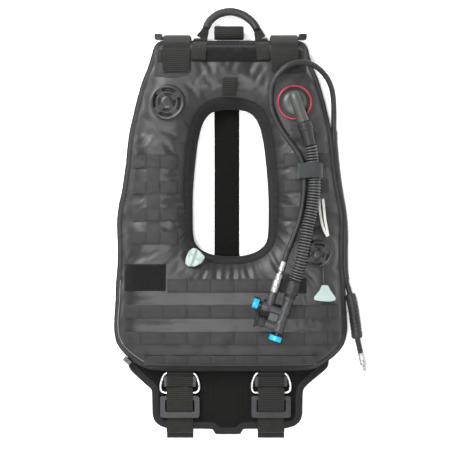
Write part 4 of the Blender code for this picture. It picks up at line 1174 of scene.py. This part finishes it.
def grip_radius(s):
    f = s / grip_len
    end = min(1.0, min(f, 1 - f) / 0.035)
    return 5.4 + 2.0 * math.sqrt(max(0.0, 1 - (1 - end) ** 2)) + 0.16 * math.cos(2 * math.pi * s / 6.5) * (0.12 < f < 0.88)


pipe_mesh("grip", grip_line, grip_radius, "rubber", 28, body="carry_handle", nodes=("handle_grip",), slot="rubber")
arch_fine = resample(catmull(ARCH, False, 12), 90, False)
across = []
for i, p in enumerate(arch_fine):
    t = arch_fine[min(i + 1, 89)] - arch_fine[max(i - 1, 0)]
    across.append(Vector((0, 0, 1)).cross(t).normalized())
wide = [9.0 + 11.0 * float(smooth(0.20, 0.0, min(i / 89, 1 - i / 89))) for i in range(90)]
strap("grip_webbing", arch_fine, across, wide, 2.4, "webbing", body="carry_handle", nodes=("handle_webbing",),
      slot="webbing", cols=8)
for side, x0, x1, wd in (("right", -56, -59, 26), ("left", 57, 61, 24)):
    pts = [(x0, 348.0, 20.6), (x0, 345.6, 24.5)]
    for y in (341, 335, 328, 320, 312, 303):
        x = x0 + (x1 - x0) * (345 - y) / 42
        pts.append((x, y, max(surf(x + k, y) for k in (-10, 0, 10)) + 3.0))
    strap(f"grip_tail_{side}", catmull(pts, False, 5), (1, 0, 0), wd, 1.9, "webbing", cols=10, slot="webbing")
    xm = x1
    zt = pts[-2][2] + 1.0
    thread([(xm - wd / 2 + 3, 305), (xm + wd / 2 - 3, 305), (xm + wd / 2 - 3, 316), (xm - wd / 2 + 3, 316),
            (xm - wd / 2 + 3, 305)], lambda x, y, pts=pts: float(np.interp(y, [303, 312, 320], [pts[-1][2], pts[-2][2], pts[-3][2]])) + 1.0,
           2.6, 1.9, 0.34)


# ------------------------------------------------------------------------ valves
def grille(name, x, y, r, height, node, knobs):
    """Exhaust valve cap: a knurled ring, four spokes, a mid ring and a domed hub."""
    z0 = FRONT_TOP + 0.9
    top = z0 + height
    m = Matrix.Translation(Vector((x, y, 0)))
    shapes = [lathe([(r * 0.80, top - 0.9), (r * 0.88, top), (r * 0.95, top - 0.5), (r, top - 2.2), (r, z0),
                     (r * 0.78, z0), (r * 0.78, top - 2.4)], m, 144, 0.5, ring=True,
                    lobes=lambda a: 0.35 * math.cos(a * knobs) - 0.35)]
    shapes.append(lathe([(r * 0.50, top - 1.2), (r * 0.53, top - 0.8), (r * 0.58, top - 0.8), (r * 0.61, top - 1.2),
                         (r * 0.61, top - 2.8), (r * 0.50, top - 2.8)], m, 72, 0.25, ring=True))
    shapes.append(lathe([(0, top), (r * 0.22, top - 0.1), (r * 0.32, top - 0.7), (r * 0.36, top - 1.6),
                         (r * 0.36, top - 3.0), (0, top - 3.0)], m, 64, 0.4))
    for k in range(4):
        a = math.pi / 2 * k + math.radians(38)
        d, s = Vector((math.cos(a), math.sin(a))), Vector((-math.sin(a), math.cos(a)))
        w0, w1 = r * 0.14, r * 0.2
        c = Vector((x, y))
        shape = [c + d * r * 0.3 - s * w0, c + d * r * 0.82 - s * w1, c + d * r * 0.82 + s * w1, c + d * r * 0.3 + s * w0]
        shapes.append(prism(rounded_outline(shape, 0.8, 2), top - 2.8, top - 0.9))
    return joined(name, shapes, "black", nodes=(node,), slot="black_plastic", angle=40)


grille("shoulder_exhaust", -116.0, 224.5, 33.0, 9.5, "shoulder_valve_cap", 40)
grille("lower_exhaust", 160.0, -53.0, 26.0, 8.0, "lower_dump_cap", 32)
guide = [rounded_outline([(172, -43), (183, -36), (188, -40), (187, -47), (176, -54)], 2.5, 3)]
joined("cord_guide", [prism(guide[0], 57.0, 63.0)], "black", bevel=0.8, slot="black_plastic")

# cord and pull tabs
CORD = catmull([(168.6, -75.5, 59.2), (169, -80.4, 59.6), (169.4, -86, 60.4), (169.8, -95, 61.4), (170.4, -104, 61.6),
                (171, -110.5, 61.7)], False, 8)
dump_line = pipe_mesh("dump_line", CORD, lambda s: 0.95 + 0.07 * math.cos(s * 4.2), "line", 12, body="dump_tab",
                      nodes=("lower_dump_cord",), slot="pale_plastic")
tab = [(-6, 15), (6, 15), (10, 6), (20, -8), (19, -13), (8, -15), (-8, -14), (-19, -12), (-20, -7), (-9, 6)]
ridges = [prism(rounded_outline([(172 - w, -125 + yy), (172 + w, -125 + yy), (172 + w, -123.2 + yy),
                                 (172 - w, -123.2 + yy)], 0.8, 2), 64.0, 64.9) for w, yy in ((8, -1), (11, -5), (14, -9))]
dump_handle = joined("dump_handle", [prism(rounded_outline([(172 + x, -125 + y) for x, y in tab], 3.2), 59.7, 64.4)] + ridges,
                     "pale", bevel=1.1, body="dump_tab", nodes=("lower_pull_tab",), slot="pale_plastic")


def crumpled(outline, centre, z0, z1, relief):
    """A soft disc: its rim is rounded, and its top rises and falls by relief(x, y)."""
    c = Vector(centre)
    rim = [Vector((q[0], q[1])) for q in outline]
    n = len(rim)
    verts, faces = [], []
    for f, z, top in ((0.3, z0, 0), (0.9, z0, 0), (0.985, z0 + 0.7, 0), (1.0, z0 + 1.8, 0), (0.985, z1 - 0.8, 0.4), (0.93, z1 - 0.2, 0.8),
                      (0.84, z1, 1), (0.72, z1, 1), (0.6, z1, 1), (0.48, z1, 1), (0.36, z1, 1), (0.24, z1, 1), (0.12, z1, 1)):
        for q in rim:
            w = c + (q - c) * f
            verts.append(Vector((w.x, w.y, z + top * relief(w.x - c.x, w.y - c.y))))
    rows = len(verts) // n
    for r in range(rows - 1):
        faces += [(r * n + k, r * n + (k + 1) % n, (r + 1) * n + (k + 1) % n, (r + 1) * n + k) for k in range(n)]
    verts += [Vector((c.x, c.y, z0)), Vector((c.x, c.y, z1 + relief(0, 0)))]
    faces += [((k + 1) % n, k, len(verts) - 2) for k in range(n)]
    faces += [((rows - 1) * n + k, (rows - 1) * n + (k + 1) % n, len(verts) - 1) for k in range(n)]
    return verts, faces


def tab_relief(x, y):
    """Two creases that meet near the tab's foot, with a hollow between them."""
    d1 = (x + 4.5) * 0.94 - (y + 2) * 0.34
    d2 = (x - 5.0) * 0.64 + (y - 1) * 0.77
    return (2.3 * math.exp(-(d1 / 2.6) ** 2) - 1.7 * math.exp(-((d1 - 6.0) / 3.2) ** 2)
            + 1.9 * math.exp(-(d2 / 2.4) ** 2) - 1.2 * math.exp(-((d2 + 5.2) / 3.0) ** 2) + 0.5 * noise.noise(Vector((x * 0.2, y * 0.2, 4))))


tab = [(-3.3, 18.2), (3.6, 17.1), (12, 9.6), (19.0, 2.2), (17.6, -3), (13.0, -9.4), (2.0, -15.8), (-12.4, -16.0), (-17.2, -10.6),
       (-16.4, -0.5), (-10.6, 12.6)]
rim = [(q[0], q[1]) for q in resample(rounded_outline([(-66 + x, -60 + y) for x, y in tab], 3.2), 120, True)]
joined("shoulder_handle", [crumpled(rim, (-66.0, -60.0), 56.8, 61.6, tab_relief)], "pale", angle=80, body="shoulder_tab",
       nodes=("shoulder_pull_tab",), slot="pale_plastic")
for name, zz, leg in (("tape_fold_lower", 61.5, [(161.5, 48), (162.8, 30), (166, 8), (170.6, -8), (177.4, -21)]),
                      ("tape_fold_upper", 63.0, [(168.6, 48), (170.8, 27), (172.6, 10), (174.8, -2), (178.2, -20)])):
    run_ = catmull(leg, False, 10)
    aside = []
    for k, q in enumerate(run_):
        t = run_[min(k + 1, len(run_) - 1)] - run_[max(k - 1, 0)]
        aside.append(Vector((t.y, -t.x, 0)).normalized() + Vector((0, 0, 0.25 if zz > 62 else -0.2)))
    strap(name, [(q.x, q.y, zz) for q in run_], aside, 4.6, 1.1, "tape", nodes=("lanyard_tape",) if zz < 62 else (),
          slot="white_tape", cols=8)

# ---------------------------------------------------------------------- inflator
FL = Matrix.Translation(Vector((117, 224.5, 0)))
ZF = FRONT_TOP + 0.9
joined("hose_flange", [lathe([(0, ZF + 3), (30, ZF + 3), (32, ZF + 2), (32, ZF), (0, ZF)], FL, 96, 0.7)], "black",
       nodes=("inflator_flange",), slot="black_plastic")
joined("red_ring", [lathe([(28.6, ZF + 5), (31.4, ZF + 5), (31.8, ZF + 3.4), (28.6, ZF + 3.4)], FL, 96, 0.5, ring=True)],
       "red", nodes=("flange_ring",), slot="red_anodised")
bend = resample(catmull([(115.5, 237, 68.5), (116.5, 234, 71.5), (118.5, 228, 73.4), (122.5, 216, 74), (127.5, 201, 74),
                         (132.8, 187.6, 74)], False, 10), 44, False)
rings = []
side_v = Vector((0.945, 0.327, 0))
for i, p in enumerate(bend):
    t = (bend[min(i + 1, 43)] - bend[max(i - 1, 0)]).normalized()
    up_v = t.cross(side_v).normalized()
    f = i / 43
    r = 10.4 - 0.5 * math.sin(math.pi * f) - (1.4 if i in (0,) else 0)
    rings.append([p + (up_v * math.cos(k) + side_v * math.sin(k)) * r for k in (2 * math.pi * s / 40 for s in range(40))])
dome = lathe([(0, ZF + 10), (9, ZF + 9.9), (15, ZF + 9.3), (19, ZF + 8.1), (21.8, ZF + 6.2), (23.4, ZF + 3.7), (0, ZF + 3.7)],
             FL, 72, 0.8)
joined("hose_elbow", [sweep(rings, False), dome], "grey", angle=50, nodes=("inflator_elbow",), slot="grey_plastic")
CUFF_M = frame_at(CUFF_A, cuff_dir)
cuff_len = (CUFF_B - CUFF_A).length
joined("upper_cuff", [lathe([(0, cuff_len - 0.3), (9.8, cuff_len - 0.3), (11.0, 27), (12.4, 16), (13.5, 14.4), (13.5, 9.6),
                             (12.8, 8.8), (13.5, 8), (13.5, 4), (12.8, 3), (13.3, 0.7), (0, 0.7)], CUFF_M, 72, 0.6)],
       "rubber", nodes=("hose_cuff",), slot="rubber")

ALONG = Matrix.Rotation(math.pi / 2, 4, "Y")


def inf_shape(profile, t, u, axis="t", segs=64, ring=False, r=0.45, lobes=None):
    turn = ALONG if axis == "t" else Matrix.Rotation(math.pi / 2, 4, "X")
    return lathe(profile, inf @ Matrix.Translation(Vector((t, u, 0))) @ turn, segs, r, ring, lobes)


joined("lower_cuff", [inf_shape([(0, 30), (9.6, 30), (9.6, 27), (11.6, 26), (12.4, 22), (11.8, 20), (12.4, 18),
                                 (12.2, 3), (11.4, 0.4), (0, 0.4)], 0, 0)], "rubber",
       nodes=("inflator_cuff",), slot="rubber")
web_v, web_f = prism(rounded_outline([(61, -24), (91, -24), (91, -2), (61, -2)], 3), -2.0, 2.0)
web = ([inf @ p for p in web_v], web_f)
barrel = inf_shape([(4.7, 97), (8.4, 97), (9.2, 95.5), (9.2, 80), (8.2, 76), (8.2, 60), (8.9, 58.5), (8.9, 54), (8.2, 52.5),
                    (8.2, 38), (9.4, 36), (9.4, 30.4), (0, 30.4), (0, 80), (4.7, 80)], 0, 0)
arm = inf_shape([(4.7, 40), (10.2, 40), (10.2, 30), (8.6, 26), (7.4, 22), (7.4, 0), (0, 0), (0, 26), (4.7, 26)], 60, -2, "u")
leg = inf_shape([(0, 60), (7.6, 60), (7.6, 40), (6.6, 36), (6.6, 31.0), (0, 31.0)], 0, INF_COLUMN)
tube_ = inf_shape([(5.7, 26), (7.8, 26), (7.8, 0), (0, 0), (0, 9), (5.7, 9)], 88, -1, "u")
joined("inflator_handset", [barrel, arm, leg, tube_, web], "handset", angle=35, nodes=("inflator_body",),
       slot="black_plastic")
joined("power_button", [inf_shape([(0, 56.5), (6.0, 56.6), (7.4, 57), (9.2, 57), (9.2, 47.0), (0, 47.0)],
                                  60, -2, "u", lobes=lambda a: 0.14 * math.cos(a * 20) - 0.14)],
       "blue", body="inflate_press_body", nodes=("inflate_button",), slot="blue_plastic")
joined("release_button", [inf_shape([(0, 112.5), (7.6, 112.6), (9.4, 113), (11.6, 113), (11.6, 104.0), (0, 104.0)], 0, 0, lobes=lambda a: 0.14 * math.cos(a * 24) - 0.14)],
       "blue", body="deflate_press_body", nodes=("deflate_button",), slot="blue_plastic")
joined("power_stem", [inf_shape([(0, 47.4), (3.9, 47.4), (3.9, 32), (0, 32)], 60, -2, "u")], "black",
       body="inflate_press_body", slot="black_plastic")
joined("release_stem", [inf_shape([(0, 104.4), (3.9, 104.4), (3.9, 87), (0, 87)], 0, 0)], "black",
       body="deflate_press_body", slot="black_plastic")
joined("mouth_flange", [inf_shape([(5.8, 44), (12.4, 44), (13.6, 42.6), (12.4, 41), (9.6, 39), (9.4, 27.2), (8.4, 26.4),
                                   (5.8, 26.4)], 88, -1, "u", ring=True, r=0.7)], "rubber",
       nodes=("mouthpiece",), slot="rubber")
joined("coupling_plug", [inf_shape([(0, 30.7), (4.6, 30.7), (4.6, -10), (6.4, -11), (6.4, -16), (5.4, -17), (5.4, -28),
                                    (0, -28)], 0, INF_COLUMN)], "nickel", nodes=("coupling_core",), slot="steel")
joined("coupling_collar", [inf_shape([(5.0, 30.2), (7.2, 30.2), (7.2, 22), (6.8, 21), (7.8, 19), (7.8, 9), (6.8, 7),
                                      (7.2, 5), (7.2, -4), (5.0, -4)], 0, INF_COLUMN, ring=True,
                                     lobes=lambda a: 0.12 * math.cos(a * 24) - 0.12)],
       "nickel", body="release_sleeve", nodes=("coupling_sleeve",), slot="steel")


# -------------------------------------------------- side run of the low hose
def stretch(y_high, y_low, n):
    run_ = [p for p in low_fine if p.x > 185 and y_low <= p.y <= y_high]
    return resample(run_, n, False)


pipe_mesh("hose_tunnel", stretch(178, -104, 150),
          lambda s: 6.55 + 0.3 * noise.noise(Vector((s * 0.06, 1.0, 0))) + 0.12 * math.cos(s * 0.9), "shell", 24,
          nodes=("hose_sleeve",), slot="coated_fabric")
grip_run = stretch(-128, -212, 160)
glen = sum((b - a).length for a, b in zip(grip_run, grip_run[1:]))
hose_handle = pipe_mesh("hose_handle", grip_run,
                        lambda s: 8.6 + 1.7 * math.sqrt(max(0.0, 1 - (1 - min(1, min(s, glen - s) / 5)) ** 2))
                        - 0.45 * (0.5 + 0.5 * math.cos(2 * math.pi * s / 7.0)) * (10 < s < glen - 10),
                        "rubber", 32, nodes=("hose_grip",), slot="rubber")
tip = Vector((244.2, -240.3, 8.4))
tip_dir = (Vector((252.0, -272, 8.4)) - tip).normalized()
connector = joined("hose_connector", [lathe([(0, 35), (2.6, 35), (3.4, 33), (3.4, 24), (6.3, 23), (6.3, 16.8), (5.7, 16),
                                             (5.7, 15), (6.3, 14.2), (6.3, 10), (5.6, 9), (5.6, 0.4), (0, 0.4)],
                                            frame_at(tip, tip_dir), 64, 0.35, lobes=lambda a: 0.1 * math.cos(a * 18) - 0.1)],
                   "nickel", nodes=("hose_end_connector",), slot="steel")

# ------------------------------------------------------------- bottom strap sets
for side, x in STRAP_X.items():
    wrap = [(x, y, z) for y, z in ((-232, 8.4), (-247, 8.4), (-262, 8.4), (-277, 8.4))]
    wrap += [(x, PIVOT_Y + 4.6 * math.cos(math.radians(a)), PIVOT_Z + 4.6 * math.sin(math.radians(a)))
             for a in range(255, 85, -15)]
    wrap += [(x, -274.6, 17.0), (x, -272.8, 14.6), (x, -272.4, 11.4)]
    strap(f"anchor_{side}", wrap, (1, 0, 0), 50, 2.0, "webbing", nodes=(f"{side}_anchor_loop",), slot="webbing", cols=14)
    body = f"{side}_strap_set"
    ring = [(-25, 0), (25, 0), (29.5, -3.5), (32.6, -10), (35.2, -18), (36.2, -25), (35.4, -33), (31, -37), (-31, -37),
            (-35.4, -33), (-36.2, -25), (-35.2, -18), (-32.6, -10), (-29.5, -3.5)]
    pts = [Vector((p.x, p.y, PIVOT_Z)) for p in
           resample(rounded_outline([(x + a, PIVOT_Y + b) for a, b in ring], 6, 5), 160, True)]
    rr = []
    for i, p in enumerate(pts):
        t = (pts[(i + 1) % 160] - pts[i - 1]).normalized()
        a = t.cross(Vector((0, 0, 1)))
        rr.append([p + (a * math.cos(k) + Vector((0, 0, 1)) * math.sin(k)) * 2.28
                   for k in (2 * math.pi * s / 18 for s in range(18))])
    joined(f"wire_bail_{side}", [sweep(rr, True)], "steel", angle=60, body=body, nodes=(f"{side}_bail",), slot="steel")
    # outer and window outlines share a point count so the ring between them closes
    a_out = resample(rounded_outline([(x - 37, -320), (x + 37, -320), (x + 37, -361), (x - 37, -361)], 5, 6), 96, True)
    a_in = resample(rounded_outline([(x - 27, -327), (x + 27, -327), (x + 27, -350), (x - 27, -350)], 2.5, 6), 96, True)
    shapes = [prism([tuple(p) for p in a_out], 10.9, 16.2, [tuple(p) for p in a_in]),
              prism(rounded_outline([(x - 14, -324), (x + 14, -324), (x + 14, -296), (x - 14, -296)], 3), 10.4, 15.0),
              prism(rounded_outline([(x - 14, -324), (x + 14, -324), (x + 14, -305), (x - 14, -305)], 3), 14.7, 19.0),
              prism(rounded_outline([(x - 30.5, -303), (x + 30.5, -303), (x + 30.5, -283.4), (x - 30.5, -283.4)], 3),
                    10.0, 15.1)]
    shapes += [prism(rounded_outline([(x - 10, yy), (x + 10, yy), (x + 10, yy + 1.6), (x - 10, yy + 1.6)], 0.7, 2), 18.7, 19.5)
               for yy in (-320, -316, -312, -308)]
    joined(f"adjuster_{side}", shapes, "dark", bevel=0.9, body=body, nodes=(f"{side}_strap_frame",), slot="dark_metal")
    over = [(x, -284, 15.9), (x, -287, 15.95), (x, -291, 15.95), (x, -296, 15.95), (x, -300, 15.95), (x, -303, 15.9)]
    strap(f"bail_webbing_{side}", catmull(over, False, 5), (1, 0, 0), 49, 1.5, "webbing", body=body, slot="webbing", cols=12)
    thru = [(x, -318, 18.0), (x, -307, 18.0), (x, -304.6, 19.2), (x, -306, 20.9), (x, -314, 21.4), (x, -328, 21.4),
            (x, -340, 20.6), (x, -346, 18.6), (x, -348.2, 15.4), (x, -348.4, 12.4)]
    strap(f"frame_webbing_{side}", catmull(thru[2:], False, 5), (1, 0, 0), 49, 1.7, "webbing", body=body, slot="webbing",
          cols=12)
    tail = [(x, -401, 1.2), (x, -392, 1.4), (x, -389.4, 5.0), (x, -386.6, 8.2), (x, -380, 8.9), (x, -360, 8.85),
            (x, -340, 8.8), (x, -322, 8.75), (x, -305, 8.7)]
    strap(f"tail_{side}", catmull(tail, False, 6), (1, 0, 0), 50, 2.0, "webbing", body=body,
          nodes=(f"{side}_leg_strap",), slot="webbing", cols=14)

# light piping along the lower right edge, and the small keeper at its end
low_edge = [p for p in resample(outer_line, 900, True) if p.x < 0 and -262 < p.y < -108]
low_edge.sort(key=lambda p: -p.y)
pip = []
for p in low_edge[::3]:
    q = p + (CENTRE - p).normalized() * 9.0
    pip.append((q.x, q.y, surf(q.x, q.y) + 0.5))
pipe_mesh("edge_piping", pip, 0.9, "piping", 10, slot="white_tape")

for side, s in (("right", -1), ("left", 1)):
    v, f, u = drape(10, 14, lambda a, b, s=s: (s * (126 + 10 * a), 299 + 24 * b), gap=1.6, thick=1.4)
    make(f"shoulder_keeper_{side}", v, f, "webbing", uv=u, slot="webbing", angle=50)
joined("side_keeper", [prism(rounded_outline([(-202, -252), (-190, -262), (-184, -256), (-196, -245)], 2.2), 14.5, 20.5),
                       prism(rounded_outline([(-199, -253), (-191, -259), (-188, -256), (-196, -250)], 1.2), 20.3, 21.6)],
       "black", bevel=0.8, slot="black_plastic")
v, f, u = combine(threads)
make("stitching", v, f, "thread", uv=u, slot="webbing", angle=60)

# valve springs: coils between their lower and upper seats
for name, x, y, r, low, high, turns, joint, travel, node in (
        ("shoulder_coil", -116.0, 224.5, 9.9, 59.3, 63.3, 2.5, "shoulder_valve_lift", 2.5, "shoulder_valve_spring"),
        ("lower_coil", 160.0, -53.0, 7.8, 59.3, 61.8, 1.5, "dump_valve_lift", 1.9, "lower_dump_spring")):
    coil = [(x + r * math.cos(2 * math.pi * turns * k / 140), y + r * math.sin(2 * math.pi * turns * k / 140),
             low + 0.45 + (high - low - 0.9) * k / 140) for k in range(141)]
    spring = pipe_mesh(name, coil, 0.38, "steel", 10, nodes=(node,), slot="steel")
    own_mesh(spring)

# CAD pieces that show as they are: procedural finishes only, meshes untouched
FINISH = {"shoulder_valve_poppet": "rubber", "lower_dump_poppet": "rubber", "shoulder_valve_spring": "steel",
          "lower_dump_spring": "steel"}
for name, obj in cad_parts.items():
    if not obj.hide_render:
        obj.data.materials.clear()
        obj.data.materials.append(M[FINISH.get(name, "black")])
        print("shown CAD node:", name, flush=True)
